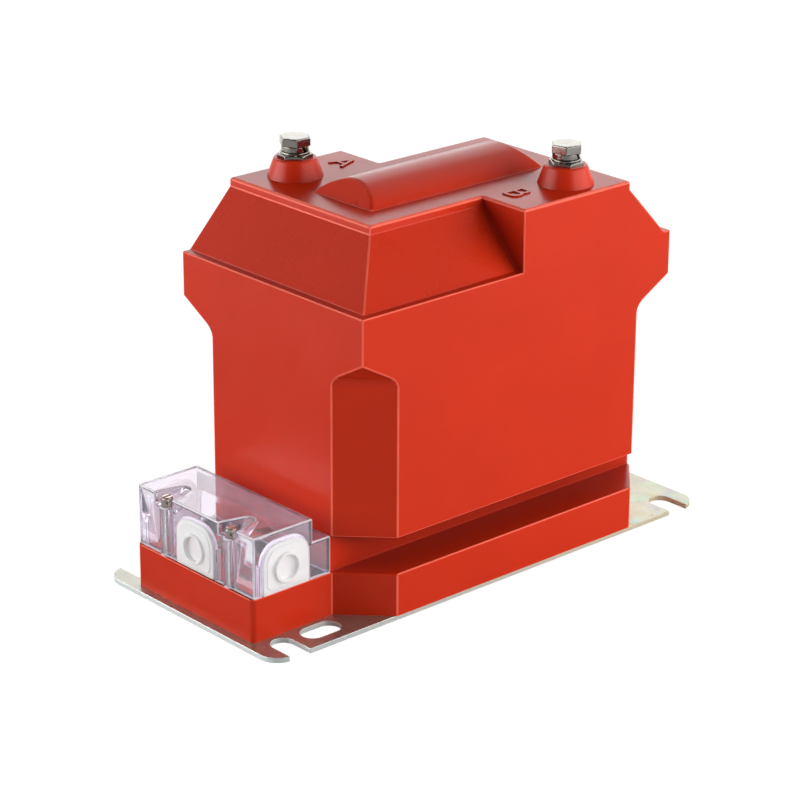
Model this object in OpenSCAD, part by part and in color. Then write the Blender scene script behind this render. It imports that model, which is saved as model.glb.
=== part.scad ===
/* [Base plate] */
// Thickness of the steel base plate
plate_t = 3; // [2:0.5:5]
// How far the plate stays inside the casting's long sides
plate_inset = 1; // [0.5:0.5:4]
// Plate in front of the terminal block
front_margin = 5; // [3:1:15]
// Plate behind the casting's rear face
rear_margin = 35; // [30:1:50]
// Radius of the plate's corners
plate_r = 12; // [4:1:16]
// Width of the fixing slots
slot_w = 14; // [9:1:16]
// From the plate's end to the middle of an open slot
slot_end = 17.5; // [14:0.5:22]
// From the plate's long edge to the round end's centre of an open slot
slot_depth = 14; // [10:1:18]
// Overall length of the two closed slots
oblong_l = 25; // [20:1:26]
// From an open slot's middle to the middle of the closed slot beside it
oblong_step = 26; // [24:1:28]

/* [Casting] */
// Length of the casting without its terminal block
body_l = 230; // [210:1:260]
// Width of the casting
body_w = 150; // [140:1:170]
// How far each bevelled corner is cut back along both sides
corner_c = 25; // [18:1:30]
// Height of the foot on the plate
foot_h = 25; // [20:1:35]
// Height of the side grooves above the foot
groove_h = 21; // [15:1:28]
// Radius in the roots of the side grooves
groove_r = 3; // [1:0.5:6]
// Height of the straight bevelled corners above the grooves
waist_h = 90; // [80:1:110]
// Height over which the corner bevels run out under the collar
bevel_h = 14; // [8:1:20]
// Height of the square collar
collar_h = 25.5; // [18:0.5:35]
// Width of the ledge round the collar's top
ledge_w = 5; // [2:0.5:8]
// Height of the sloping shoulders
slope_h = 30.5; // [22:0.5:40]
// How far the end shoulders slope in
slope_x = 29; // [22:1:36]
// How far the side shoulders slope in
slope_y = 28; // [22:1:34]
// Height of the upright lip round the top face
lip_h = 5; // [3:0.5:8]

/* [Ridge] */
// Height of the arched ridge between the terminals
ridge_h = 11; // [7:0.5:15]
// Top face left free at each end of the ridge
ridge_end = 17; // [12:1:24]
// Top face left free beside the ridge
ridge_side = 18; // [14:1:24]
// Lean of the ridge's end faces from upright, in degrees
ridge_lean = 41; // [20:1:50]

/* [Primary terminals] */
// From the top face's end to a terminal's centre
term_end = 29.5; // [25:0.5:33]
// From the top face's flush side to a terminal's centre
term_side = 21; // [18:1:24]
// Diameter of a terminal boss at its foot
boss_d = 31.5; // [28:0.5:35]
// Diameter of a terminal boss at its top
boss_top_d = 24.5; // [22:0.5:27]
// Height of a terminal boss
boss_h = 10.5; // [8:0.5:16]
// Radius on the boss's upper edge
boss_r = 1.5; // [0.5:0.5:2]
// Thread diameter of the primary terminals
stud_d = 10; // [8:1:12]
// Width across the flats of the terminal bush's hexagon
bush_af = 17.5; // [16:0.5:20]
// Height of the bush's hexagon above the boss
bush_hex_h = 2.9; // [2:0.1:5]
// Diameter of the bush's cast-in part
bush_d = 16; // [15:0.5:18]
// Length of the bush's cast-in part
bush_l = 28; // [24:1:36]
// Width across the flats of the bolt's head
bolt_af = 16; // [15:0.5:18]
// Height of the bolt's head
bolt_head_h = 5; // [4.5:0.1:7]
// Length of the bolt under its head
bolt_l = 25; // [20:1:28]
// Outer diameter of the plain washer
washer_d = 17; // [16:0.5:20]
// Thickness of the plain washer
washer_t = 1.2; // [1:0.1:2]
// Outer diameter of the spring washer
spring_d = 15.4; // [14:0.1:17]
// Thickness of the spring washer
spring_t = 3.2; // [2:0.1:3.5]
// Width of the split in the spring washer
spring_slit = 1.4; // [0.8:0.1:2]

/* [Terminal block and cover] */
// How far the terminal block stands out of the casting
block_l = 55; // [50:1:65]
// Radius of the block's two front corners
block_r = 3; // [1:0.5:6]
// Height of the clear cover
cover_h = 35; // [34:1:45]
// Wall thickness of the clear cover
cover_wall = 2; // [1.5:0.1:2.5]
// How far the cover stays behind the block's front face
cover_front = 1.5; // [1:0.5:3]
// Gap between the cover and the casting, and at the block's sides
cover_gap = 0.5; // [0.3:0.1:1]
// Depth of the cover's low step beside the casting
step_l = 12.3; // [10:0.1:16]
// Height of that step above the block
step_h = 21.5; // [17:0.5:25]
// Distance between the cover's two screw posts
post_pitch = 55; // [52:1:60]
// Diameter of a screw post
post_d = 9; // [8:0.5:10]
// Depth of the screw seats below the cover's top
seat_drop = 6.5; // [5:0.5:7]
// Width of a screw pocket at the front
pocket_w = 15; // [13:0.5:15]
// Width of a screw pocket at its shallow end
pocket_end_w = 9; // [7:0.5:11]
// Length of a screw pocket from the screw's centre
pocket_l = 15; // [13:0.5:17]
// Thread diameter of the cover screws
seal_d = 4; // [3:0.5:4]
// Diameter of a cover screw's head
seal_head_d = 6; // [5.5:0.5:7]
// Height of a cover screw's head
seal_head_h = 5.5; // [4:0.5:6]
// Diameter of the cover screws' cast-in bushes
seal_bush_d = 7; // [6:0.5:8]
// Length of those bushes
seal_bush_l = 12; // [10:1:16]

/* [Cable entries] */
// Width of a cable entry's flange, which lies behind the cover's wall
entry_w = 33.5; // [28:0.5:34]
// Height of that flange
entry_h = 29.5; // [26:0.5:30]
// Radius of its upper corners
entry_r = 12; // [8:1:13]
// Thickness of the flange
entry_t = 1.5; // [1:0.1:2]
// How far the flange overlaps the cover's wall
entry_lap = 1.3; // [1:0.1:2]
// How far the entry's face stands out of the cover's wall
entry_proud = 0.5; // [0.2:0.1:1]
// Thickness of the ribs that guide the flange
guide_t = 1.2; // [0.8:0.1:1.5]
// How far the guide ribs stand in from the cover's wall
guide_d = 2.5; // [2:0.5:4]
// Height of the guide ribs
guide_h = 18; // [12:1:19]
// Outer diameter of the ring round the knock-out
ring_d = 17.2; // [14:0.2:19]
// Wall thickness of that ring
ring_t = 1.6; // [1:0.1:2]
// How far the ring stands out of the cover's wall
ring_h = 2.6; // [1.5:0.1:3]
// Height of the ring's centre above the block
ring_z = 13.2; // [12:0.1:14]
// Thickness of the knock-out skin
skin_t = 1; // [0.8:0.1:1.4]

/* [Secondary terminals] */
// Distance between the secondary terminals
sec_pitch = 22; // [20:0.5:23]
// From the casting to the row of secondary terminals
sec_x = 25; // [22:0.5:27]
// Thread diameter of the secondary terminals
sec_d = 5; // [4:1:5]
// Diameter of the secondary bushes
sec_bush_d = 9; // [8:0.5:10]
// Cast-in length of the secondary bushes
sec_bush_l = 14; // [12:0.5:16]
// Height of the secondary bushes above the block
sec_rise = 1; // [0.5:0.5:1.5]
// Outer diameter of the washers under the secondary screws
sec_washer_d = 10; // [9:0.5:11]
// Thickness of those washers
sec_washer_t = 1; // [0.8:0.1:1.5]
// Head diameter of the secondary screws
sec_head_d = 9.2; // [8:0.1:10]
// Height of those heads
sec_head_h = 3.3; // [2.5:0.1:4]

/* [Plate screws] */
// From the casting's ends to the plate screws
fix_x = 30; // [27:1:36]
// From the casting's sides to the plate screws
fix_y = 30; // [27:1:34]
// Thread diameter of the plate screws
fix_d = 5; // [4:1:5]
// Head diameter of the countersunk plate screws
fix_head_d = 9.5; // [9:0.5:10]
// Length of the plate screws, head included
fix_l = 14; // [12:1:16]
// Diameter of the threaded bushes they turn into
fix_bush_d = 9; // [8:0.5:10]

/* [Core and windings] */
// Resin between the core and the casting's ends
core_cover = 17; // [13:1:22]
// Resin between the base plate and the core
core_floor = 19; // [15:1:24]
// Height of the wound core
core_h = 128; // [124:1:136]
// Width of the core's strip stack across each limb
limb_t = 38; // [34:1:40]
// Width of the core's steel strip
core_d = 50; // [44:1:52]
// Radius of the core's outer corners
core_r = 16; // [8:1:20]
// Wall of the tube that carries the windings
former_t = 2; // [1.5:0.5:3]
// Build-up of the secondary winding
sec_wind_t = 8; // [6:0.5:9]
// Wall of the insulating tube between the windings
barrier_t = 4; // [3:0.5:5]
// Build-up of the primary winding
prim_wind_t = 12; // [9:0.5:13]
// Resin between the tubes and the core window's ends
tube_end = 4; // [3:0.5:6]
// Resin between the secondary winding and the window's ends
sec_end = 10; // [8:0.5:12]
// Resin between the primary winding and the window's ends
prim_end = 12; // [11:0.5:14]
// How much shorter the primary's outer layers are at each end
prim_step = 4; // [2:0.5:5]
// Diameter of the primary leads
lead_d = 3; // [2:0.5:4]
// Diameter of the secondary leads
wire_d = 2.5; // [1.5:0.5:3]

/* [Fits] */
// Radial gap between a screw's thread and its bush
thread_gap = 0.1; // [0.05:0.05:0.15]
// Radial gap round a screw that passes through a piece
pass_gap = 0.3; // [0.2:0.05:0.5]
// Gap between the cable entries and the cover's windows and guide ribs
entry_gap = 0.1; // [0.05:0.05:0.2]

/* [Hidden] */
$fn = 64;

// A cut reaches this far past the face it opens
past = 1;
// Small chamfers on screw and bush ends
edge_c = 0.8;
// Share of a hexagon's width that stays flat on top, and how far its corners are turned off
hex_flat = 0.9;
hex_lean = 18;
// Where the groove round a primary bush starts and ends, as shares of its cast-in length
groove_from = 0.35;
groove_to = 0.7;
groove_lean = 0.05;
// Depth of that groove
bush_groove = 1.5;
// Solid end under the thread of a primary bush, and of a small bush
bush_end = 4;
bush_floor = 2;
// How much shorter than its bush a small screw is
screw_short = 3;
// Resin between the core's edges and the tube round them
former_gap = 0.6;
// Radius in the corners of the core's window
window_r = 4;
// Secondary leads: beside the core, above the plate, beyond the core's end and between two leads
wire_beside = 8;
wire_floor = 7;
wire_end = 6;
wire_apart = 4;
// How many secondary terminals stand in the row
sec_count = 4;
// Turns in which the pieces of the primary terminals came to rest, at A and at B
bush_turn = [15, -1];
spring_turn = [-88, -76];
bolt_turn = [-1.5, 45.5];

// Plan of the plate and the casting
block_w = body_w - 2 * corner_c;
plate_l = front_margin + block_l + body_l + rear_margin;
plate_w = body_w - 2 * plate_inset;
half_l = body_l / 2;
half_w = body_w / 2;
waist_y = half_w - corner_c;
front_x = -half_l - block_l;
body_x = -plate_l / 2 + front_margin - front_x;
slot_x = plate_l / 2 - slot_end;
slot_y = plate_w / 2 - slot_depth;

// Levels of the casting, from the floor up
foot_z = plate_t + foot_h;
groove_z = foot_z + groove_h;
bevel_z = groove_z + waist_h;
collar_z = bevel_z + bevel_h;
ledge_z = collar_z + collar_h;
lip_z = ledge_z + slope_h;
top_z = lip_z + lip_h;
boss_z = top_z + boss_h;

// Top face, ridge and primary terminals
top_x = half_l - ledge_w - slope_x;
top_y = half_w - ledge_w - slope_y;
ridge_l = 2 * (top_x - ridge_end);
ridge_w = 2 * (top_y - ridge_side);
ridge_rad = (ridge_w * ridge_w / 4 + ridge_h * ridge_h) / (2 * ridge_h);
term_x = top_x - term_end;
term_y = half_w - term_side;
washer_z = boss_z + bush_hex_h;
spring_z = washer_z + washer_t;
head_z = spring_z + spring_t;
bush_bore_l = bush_l - bush_end;

// Cover and what stands on the terminal block
cover_x0 = front_x + cover_front;
cover_x1 = -half_l - cover_gap;
cover_y = block_w / 2 - cover_gap;
cover_z = foot_z + cover_h;
seat_z = cover_z - seat_drop;
post_x = front_x + post_d / 2;
post_y = post_pitch / 2;
entry_x = cover_x1 - step_l - cover_wall - entry_gap - entry_w / 2;
sec_row_x = -half_l - sec_x;

// Plate screws
fix_px = half_l - fix_x;
fix_py = half_w - fix_y;
fix_head_h = (fix_head_d - fix_d) / 2;

// Core, windings and leads
core_x = half_l - core_cover;
core_z0 = plate_t + core_floor;
core_z1 = core_z0 + core_h;
window_x = core_x - limb_t;
coil_z = core_z1 - limb_t / 2;
former_r = sqrt(core_d * core_d + limb_t * limb_t) / 2 + former_gap;
sec_r0 = former_r + former_t;
barrier_r0 = sec_r0 + sec_wind_t;
prim_r0 = barrier_r0 + barrier_t;
prim_r1 = prim_r0 + prim_wind_t / 2;
prim_r2 = prim_r0 + prim_wind_t;
tube_x = window_x - tube_end;
sec_end_x = window_x - sec_end;
prim_x0 = window_x - prim_end;
prim_x1 = prim_x0 - prim_step;
prim_mid_r = (prim_r1 + prim_r2) / 2;
lead_angle = 30;
lead_y = prim_mid_r * cos(lead_angle);
lead_z = coil_z + prim_mid_r * sin(lead_angle);
bush_z0 = boss_z - bush_l;
sec_mid_r = sec_r0 + sec_wind_t / 2;
wire_y = core_d / 2 + wire_beside;
wire_dz = sqrt(sec_mid_r * sec_mid_r - wire_y * wire_y);
wire_low_z = plate_t + wire_floor;
sec_bush_z0 = foot_z - sec_bush_l;

// Colours of the finishes
resin_red = [0.78, 0.22, 0.13];
zinc = [0.78, 0.79, 0.74];
steel = [0.72, 0.72, 0.71];
brass = [0.80, 0.66, 0.36];
clear = [0.88, 0.86, 0.92, 0.35];
white = [0.93, 0.93, 0.91];
core_grey = [0.40, 0.42, 0.45];
copper = [0.72, 0.43, 0.25];
paper = [0.80, 0.70, 0.50];

// Points of an arc about [x, y] from angle a0 to a1, both ends included
function arc(x, y, r, a0, a1, n = 8) =
    [for (i = [0:n]) let (a = a0 + (a1 - a0) * i / n) [x + r * cos(a), y + r * sin(a)]];

// Outline of a rectangle with four equal round corners
function round_rect(x0, x1, y0, y1, r) = concat(
    arc(x1 - r, y0 + r, r, -90, 0), arc(x1 - r, y1 - r, r, 0, 90),
    arc(x0 + r, y1 - r, r, 90, 180), arc(x0 + r, y0 + r, r, 180, 270));

// Extrudes an outline drawn in X and Z along Y, from y0 to y1
module along_y(y0, y1) {
    translate([0, y1, 0]) rotate([90, 0, 0]) linear_extrude(height = y1 - y0) children();
}

// Extrudes an outline drawn in Y and Z along X, from x0 to x1
module along_x(x0, x1) {
    translate([x0, 0, 0]) rotate([90, 0, 90]) linear_extrude(height = x1 - x0) children();
}

// A box given by its lowest and highest corners
module block(lo, hi) {
    translate(lo) cube(hi - lo);
}

// Hexagonal prism with its upper corners turned off, as on a bolt's head
module hexagon(af, h, turn) {
    corner_r = af / sqrt(3);
    flat_r = af / 2 * hex_flat;
    rise = tan(hex_lean);
    rotate([0, 0, turn]) intersection() {
        cylinder(r = corner_r, h = h, $fn = 6);
        rotate_extrude() polygon([[0, 0], [corner_r + past, 0],
            [corner_r + past, h - (corner_r + past - flat_r) * rise], [flat_r, h], [0, h]]);
    }
}

// Plain bolt or screw shank that points down from z = 0, with a chamfered end
module shank(d, l) {
    r = d / 2 - thread_gap;
    rotate_extrude() polygon([[0, -l], [r - edge_c, -l], [r, -l + edge_c], [r, 0], [0, 0]]);
}

// Both halves of the casting are the same, turned half round
module both_halves() {
    for (turn = [0, 180]) rotate([0, 0, turn]) children();
}

// Casting: square collar on a body whose four upright corners are bevelled
module corner_cut() {
    edge = corner_c / sqrt(2);
    rise = bevel_h / edge;
    along_y(-corner_c, corner_c) polygon([[-past, 0], [edge, 0], [edge, bevel_z],
        [0, collar_z], [-past, collar_z + past * rise]]);
}

module corner_cuts() {
    both_halves() {
        translate([-half_l, -half_w, 0]) rotate([0, 0, 45]) corner_cut();
        translate([half_l, -half_w, 0]) rotate([0, 0, 135]) corner_cut();
    }
}

// Groove between foot and body, round in both roots
module groove_cut() {
    along_x(-half_l - past, half_l + past) polygon(concat([[-half_w - past, foot_z]],
        arc(-waist_y - groove_r, foot_z + groove_r, groove_r, -90, 0),
        arc(-waist_y - groove_r, groove_z - groove_r, groove_r, 0, 90),
        [[-half_w - past, groove_z]]));
}

// What the end shoulder and its lip leave away over the ledge
module end_slope_cut() {
    along_y(-half_w - past, half_w + past) polygon([[-half_l - past, ledge_z],
        [-half_l + ledge_w, ledge_z], [-top_x, lip_z], [-top_x, top_z + past],
        [-half_l - past, top_z + past]]);
}

// The same on the long side, where it ends at the upright step in the middle
module side_slope_cut() {
    along_x(-half_l - past, 0) polygon([[-half_w - past, ledge_z],
        [-half_w + ledge_w, ledge_z], [-top_y, lip_z], [-top_y, top_z + past],
        [-half_w - past, top_z + past]]);
}

// Low arched ridge with leaning ends, sunk a little into the top face
module ridge() {
    lean = tan(ridge_lean);
    intersection() {
        translate([0, 0, top_z + ridge_h - ridge_rad]) rotate([0, 90, 0])
            cylinder(r = ridge_rad, h = ridge_l + 2 * past, center = true, $fn = 96);
        along_y(-ridge_w / 2 - past, ridge_w / 2 + past) polygon([
            [-ridge_l / 2 - past * lean, top_z - past], [ridge_l / 2 + past * lean, top_z - past],
            [ridge_l / 2 - (ridge_h + past) * lean, top_z + ridge_h + past],
            [-ridge_l / 2 + (ridge_h + past) * lean, top_z + ridge_h + past]]);
    }
}

// Tapered boss under a primary terminal
module boss() {
    r0 = boss_d / 2;
    r1 = boss_top_d / 2;
    rotate_extrude() polygon(concat([[0, -past], [r0, -past], [r0, 0]],
        arc(r1 - boss_r, boss_h - boss_r, boss_r, atan2(r0 - r1, boss_h), 90), [[0, boss_h]]));
}

module terminal_places() {
    both_halves() translate([-term_x, term_y, 0]) children();
}

// Terminal block with two round front corners, one casting with the foot
module terminal_block() {
    translate([0, 0, plate_t]) linear_extrude(height = foot_h) polygon(concat(
        [[-half_l + past, -block_w / 2], [-half_l + past, block_w / 2]],
        arc(front_x + block_r, block_w / 2 - block_r, block_r, 90, 180),
        arc(front_x + block_r, -block_w / 2 + block_r, block_r, 180, 270)));
}

module casting_outside() {
    difference() {
        block([-half_l, -half_w, plate_t], [half_l, half_w, top_z]);
        corner_cuts();
        both_halves() {
            groove_cut();
            end_slope_cut();
            side_slope_cut();
        }
    }
    terminal_block();
    ridge();
    terminal_places() translate([0, 0, top_z]) boss();
}

module cast_resin_body() {
    color(resin_red) translate([body_x, 0, 0]) difference() {
        casting_outside();
        core_shape();
        coil_shape(former_r, sec_r0, tube_x);
        coil_shape(sec_r0, barrier_r0, sec_end_x);
        coil_shape(barrier_r0, prim_r0, tube_x);
        primary_coil_shape();
        terminal_places() {
            bush_body();
            primary_lead_path();
        }
        for (side = [-1, 1]) translate([post_x, side * post_y, foot_z]) cover_bush_body();
        for (i = [0:sec_count - 1]) {
            secondary_place(i) secondary_bush_body();
            wire_path(i);
        }
        plate_screw_places() plate_bush_body();
    }
}

// Base plate: open slots at the four corners and two closed slots beside the terminal block
module open_slot() {
    cylinder(d = slot_w, h = plate_t + 2 * past);
    block([-slot_w / 2, -slot_depth - past, 0], [slot_w / 2, 0, plate_t + 2 * past]);
}

module closed_slot() {
    run = (oblong_l - slot_w) / 2;
    for (x = [-run, run]) translate([x, 0, 0]) cylinder(d = slot_w, h = plate_t + 2 * past);
    block([-run, -slot_w / 2, 0], [run, slot_w / 2, plate_t + 2 * past]);
}

module base_plate() {
    x = plate_l / 2;
    y = plate_w / 2;
    color(zinc) difference() {
        union() {
            block([-x + plate_r, -y, 0], [x - plate_r, y, plate_t]);
            block([-x, -y + plate_r, 0], [x, y - plate_r, plate_t]);
            for (sx = [-1, 1], sy = [-1, 1])
                translate([sx * (x - plate_r), sy * (y - plate_r), 0]) cylinder(r = plate_r, h = plate_t);
        }
        for (sx = [-1, 1]) both_halves() translate([sx * slot_x, -slot_y, -past]) open_slot();
        for (sy = [-1, 1]) translate([-slot_x + oblong_step, sy * slot_y, -past]) closed_slot();
        translate([body_x, 0, 0]) plate_screw_places() plate_screw_hole();
    }
}

module plate_screw_places() {
    for (sx = [-1, 1], sy = [-1, 1]) translate([sx * fix_px, sy * fix_py, 0]) children();
}

// Countersunk hole from below
module plate_screw_hole() {
    translate([0, 0, -past]) cylinder(d = fix_d + 2 * pass_gap, h = plate_t + 2 * past);
    rotate_extrude() polygon([[0, -past], [fix_head_d / 2 + past, -past],
        [fix_d / 2, fix_head_h], [0, fix_head_h]]);
}

module plate_bush_body() {
    translate([0, 0, plate_t]) cylinder(d = fix_bush_d, h = fix_l);
}

module plate_bushes() {
    color(brass) translate([body_x, 0, 0]) plate_screw_places() difference() {
        plate_bush_body();
        translate([0, 0, plate_t - past]) cylinder(d = fix_d, h = fix_l + past - bush_floor);
    }
}

// Countersunk screw with a slot, its head flush with the plate's underside
module plate_screws() {
    slot = 1.2;
    color(steel) translate([body_x, 0, 0]) plate_screw_places() difference() {
        union() {
            cylinder(d1 = fix_head_d, d2 = fix_d - 2 * thread_gap, h = fix_head_h);
            translate([0, 0, fix_l]) shank(fix_d, fix_l);
        }
        block([-fix_head_d, -slot / 2, -past], [fix_head_d, slot / 2, slot]);
    }
}

// Primary terminal: cast-in bush, plain washer, spring washer and bolt
module bush_body() {
    r = bush_d / 2;
    g = r - bush_groove;
    translate([0, 0, boss_z]) rotate_extrude() polygon([[0, -bush_l], [r, -bush_l],
        [r, -bush_l * groove_to], [g, -bush_l * (groove_to - groove_lean)],
        [g, -bush_l * (groove_from + groove_lean)], [r, -bush_l * groove_from], [r, 0], [0, 0]]);
}

module primary_bush(turn) {
    color(steel) difference() {
        union() {
            bush_body();
            translate([0, 0, boss_z]) hexagon(bush_af, bush_hex_h, turn);
        }
        translate([0, 0, washer_z - bush_bore_l]) cylinder(d = stud_d, h = bush_bore_l + past);
    }
}

module plain_washer() {
    color(steel) translate([0, 0, washer_z]) difference() {
        cylinder(d = washer_d, h = washer_t);
        translate([0, 0, -past]) cylinder(d = stud_d + 2 * pass_gap, h = washer_t + 2 * past);
    }
}

// Split ring, flattened under the bolt, with its slit cut on the slant
module spring_washer(turn) {
    slant = 30;
    color(steel) translate([0, 0, spring_z]) difference() {
        cylinder(d = spring_d, h = spring_t);
        translate([0, 0, -past]) cylinder(d = stud_d + 2 * pass_gap, h = spring_t + 2 * past);
        rotate([0, 0, turn]) translate([spring_d / 2, 0, spring_t / 2]) rotate([slant, 0, 0])
            cube([spring_d - stud_d + past, spring_slit, 4 * spring_t], center = true);
    }
}

module primary_bolt(turn) {
    color(steel) translate([0, 0, head_z]) {
        hexagon(bolt_af, bolt_head_h, turn);
        shank(stud_d, bolt_l);
    }
}

// Terminal A stands at the front left, terminal B at the rear right
module at_a() {
    translate([body_x - term_x, term_y, 0]) children();
}

module at_b() {
    translate([body_x + term_x, -term_y, 0]) children();
}

module primary_bush_a() {
    at_a() primary_bush(bush_turn[0]);
}

module primary_bush_b() {
    at_b() primary_bush(bush_turn[1]);
}

module plain_washer_a() {
    at_a() plain_washer();
}

module plain_washer_b() {
    at_b() plain_washer();
}

module spring_washer_a() {
    at_a() spring_washer(spring_turn[0]);
}

module spring_washer_b() {
    at_b() spring_washer(spring_turn[1]);
}

module primary_bolt_a() {
    at_a() primary_bolt(bolt_turn[0]);
}

module primary_bolt_b() {
    at_b() primary_bolt(bolt_turn[1]);
}

// Clear cover: a stepped box, open below, with two screw posts in its front wall
module cover_section(grow, floor_z) {
    polygon([[cover_x0 - grow, floor_z], [cover_x1 + grow, floor_z],
        [cover_x1 + grow, foot_z + step_h + grow], [cover_x1 - step_l + grow, foot_z + step_h + grow],
        [cover_x1 - step_l + grow, cover_z + grow], [cover_x0 - grow, cover_z + grow]]);
}

// Plan of a screw pocket: wide and open at the front, round and narrower at its far end
module pocket_plan(grow) {
    w = pocket_w / 2 + grow;
    e = pocket_end_w / 2 + grow;
    front = cover_x0 - post_x - 2 * past - post_d;
    tip = pocket_l - pocket_end_w / 2;
    tilt = asin((w - e) / tip);
    polygon(concat([[front, -w], [0, -w]], arc(tip, 0, e, -90 + tilt, 90 - tilt), [[0, w], [front, w]]));
}

// Floor of a screw pocket: level under the head, then a ramp up to the top face
module pocket_ramp(drop) {
    front = cover_x0 - post_x - 2 * past - post_d;
    flat = seal_head_d / 2 + past;
    rise = seat_drop / (pocket_l - flat);
    polygon([[front, seat_z - drop], [flat, seat_z - drop],
        [pocket_l + past + drop, cover_z + (past + drop) * rise - drop],
        [pocket_l + past + drop, cover_z + 3 * past], [front, cover_z + 3 * past]]);
}

module screw_pocket(grow, drop, top) {
    intersection() {
        translate([0, 0, seat_z - 2 * seat_drop]) linear_extrude(height = top - seat_z + 2 * seat_drop)
            pocket_plan(grow);
        along_y(-pocket_w, pocket_w) pocket_ramp(drop);
    }
}

module post_places() {
    for (side = [-1, 1]) translate([post_x, side * post_y, 0]) children();
}

module post() {
    translate([0, 0, foot_z]) cylinder(d = post_d, h = seat_z - foot_z);
}

// Two ribs inside the cover's wall, one on each side of a cable entry's flange
module guide_ribs() {
    lo = entry_w / 2 + entry_gap;
    for (side = [0, 1]) mirror([side, 0, 0])
        block([lo, -past, -cover_wall - guide_d], [lo + guide_t, guide_h, -cover_wall + past]);
}

// What is hollow in the cover: the inside, less posts, guide ribs and the walls of the screw pockets
module cover_inside() {
    difference() {
        along_y(-cover_y + cover_wall, cover_y - cover_wall) cover_section(-cover_wall, foot_z - past);
        post_places() {
            translate([0, 0, -2 * past]) post();
            screw_pocket(cover_wall, cover_wall, cover_z);
        }
        entry_places() guide_ribs();
    }
}

module terminal_cover() {
    color(clear) translate([body_x, 0, 0]) difference() {
        union() {
            along_y(-cover_y, cover_y) cover_section(0, foot_z);
            post_places() post();
        }
        cover_inside();
        post_places() {
            screw_pocket(0, 0, cover_z + 2 * past);
            translate([0, 0, foot_z - past])
                cylinder(d = seal_d + 2 * pass_gap, h = seat_z - foot_z + 2 * past);
        }
        entry_places() translate([0, 0, -cover_wall - past])
            linear_extrude(height = cover_wall + 2 * past) entry_plan(-entry_lap + entry_gap, -past);
    }
}

// Cover screws with a plain head that is drilled across for a seal wire
module cover_screw(side) {
    hole = 1.5;
    hole_turn = -42;
    slot = 1;
    color(steel) translate([body_x + post_x, side * post_y, seat_z]) difference() {
        union() {
            rotate_extrude() polygon(concat([[0, 0], [seal_head_d / 2, 0]],
                arc(seal_head_d / 2 - edge_c, seal_head_h - edge_c, edge_c, 0, 90), [[0, seal_head_h]]));
            shank(seal_d, seat_z - foot_z + seal_bush_l - screw_short);
        }
        block([-seal_head_d, -slot / 2, seal_head_h - slot], [seal_head_d, slot / 2, seal_head_h + past]);
        translate([0, 0, seal_head_h / 2]) rotate([90, 0, hole_turn])
            cylinder(d = hole, h = 2 * seal_head_d, center = true);
    }
}

module cover_screw_left() {
    cover_screw(1);
}

module cover_screw_right() {
    cover_screw(-1);
}

module cover_bush_body() {
    translate([0, 0, -seal_bush_l]) cylinder(d = seal_bush_d, h = seal_bush_l);
}

module cover_bush(side) {
    color(brass) translate([body_x + post_x, side * post_y, foot_z]) difference() {
        cover_bush_body();
        translate([0, 0, bush_floor - seal_bush_l]) cylinder(d = seal_d, h = seal_bush_l);
    }
}

module cover_bush_left() {
    cover_bush(1);
}

module cover_bush_right() {
    cover_bush(-1);
}

// Cable entries: drawn flat with the outside of the cover's wall at z = 0 and the block at y = 0
module entry_plan(grow, low) {
    w = entry_w / 2 + grow;
    r = entry_r + grow;
    polygon(concat([[-w, low], [w, low]], arc(w - r, entry_h + grow - r, r, 0, 90),
        arc(-w + r, entry_h + grow - r, r, 90, 180)));
}

module cable_entry() {
    well = ring_d / 2 - ring_t;
    color(white) difference() {
        union() {
            translate([0, 0, -cover_wall]) linear_extrude(height = cover_wall + entry_proud)
                entry_plan(-entry_lap, 0);
            translate([0, 0, -cover_wall - entry_t]) linear_extrude(height = entry_t) entry_plan(0, 0);
            translate([0, ring_z, 0]) cylinder(d = ring_d, h = ring_h);
        }
        translate([0, ring_z, 0]) {
            cylinder(r = well, h = ring_h + past);
            translate([0, 0, -cover_wall - entry_t - past])
                cylinder(r = well, h = cover_wall + entry_t + past - skin_t);
        }
    }
}

module entry_front() {
    translate([cover_x0, 0, foot_z]) rotate([90, 0, -90]) children();
}

module entry_side(side) {
    translate([entry_x, side * cover_y, foot_z]) rotate([90, 0, 90 + side * 90]) children();
}

module entry_places() {
    entry_front() children();
    for (side = [-1, 1]) entry_side(side) children();
}

module cable_entry_front() {
    translate([body_x, 0, 0]) entry_front() cable_entry();
}

module cable_entry_left() {
    translate([body_x, 0, 0]) entry_side(1) cable_entry();
}

module cable_entry_right() {
    translate([body_x, 0, 0]) entry_side(-1) cable_entry();
}

// Secondary terminals under the cover, numbered from the right
function row_y(i) = (i - (sec_count - 1) / 2) * sec_pitch;

module secondary_place(i) {
    translate([sec_row_x, row_y(i), foot_z]) children();
}

module secondary_bush_body() {
    translate([0, 0, -sec_bush_l]) cylinder(d = sec_bush_d, h = sec_bush_l + sec_rise);
}

module secondary_bush(i) {
    color(brass) translate([body_x, 0, 0]) secondary_place(i) difference() {
        secondary_bush_body();
        translate([0, 0, bush_floor - sec_bush_l]) cylinder(d = sec_d, h = sec_bush_l + sec_rise);
    }
}

module secondary_screw(i) {
    slot = 1.2;
    color(steel) translate([body_x, 0, sec_rise + sec_washer_t]) secondary_place(i) difference() {
        union() {
            rotate_extrude() polygon(concat([[0, 0], [sec_head_d / 2, 0]],
                arc(sec_head_d / 2 - edge_c, sec_head_h - edge_c, edge_c, 0, 90), [[0, sec_head_h]]));
            shank(sec_d, sec_bush_l - screw_short);
        }
        block([-sec_head_d, -slot / 2, sec_head_h - slot], [sec_head_d, slot / 2, sec_head_h + past]);
    }
}

module secondary_washers() {
    color(steel) translate([body_x, 0, sec_rise]) for (i = [0:sec_count - 1])
        secondary_place(i) difference() {
            cylinder(d = sec_washer_d, h = sec_washer_t);
            translate([0, 0, -past]) cylinder(d = sec_d + 2 * pass_gap, h = sec_washer_t + 2 * past);
        }
}

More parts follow.
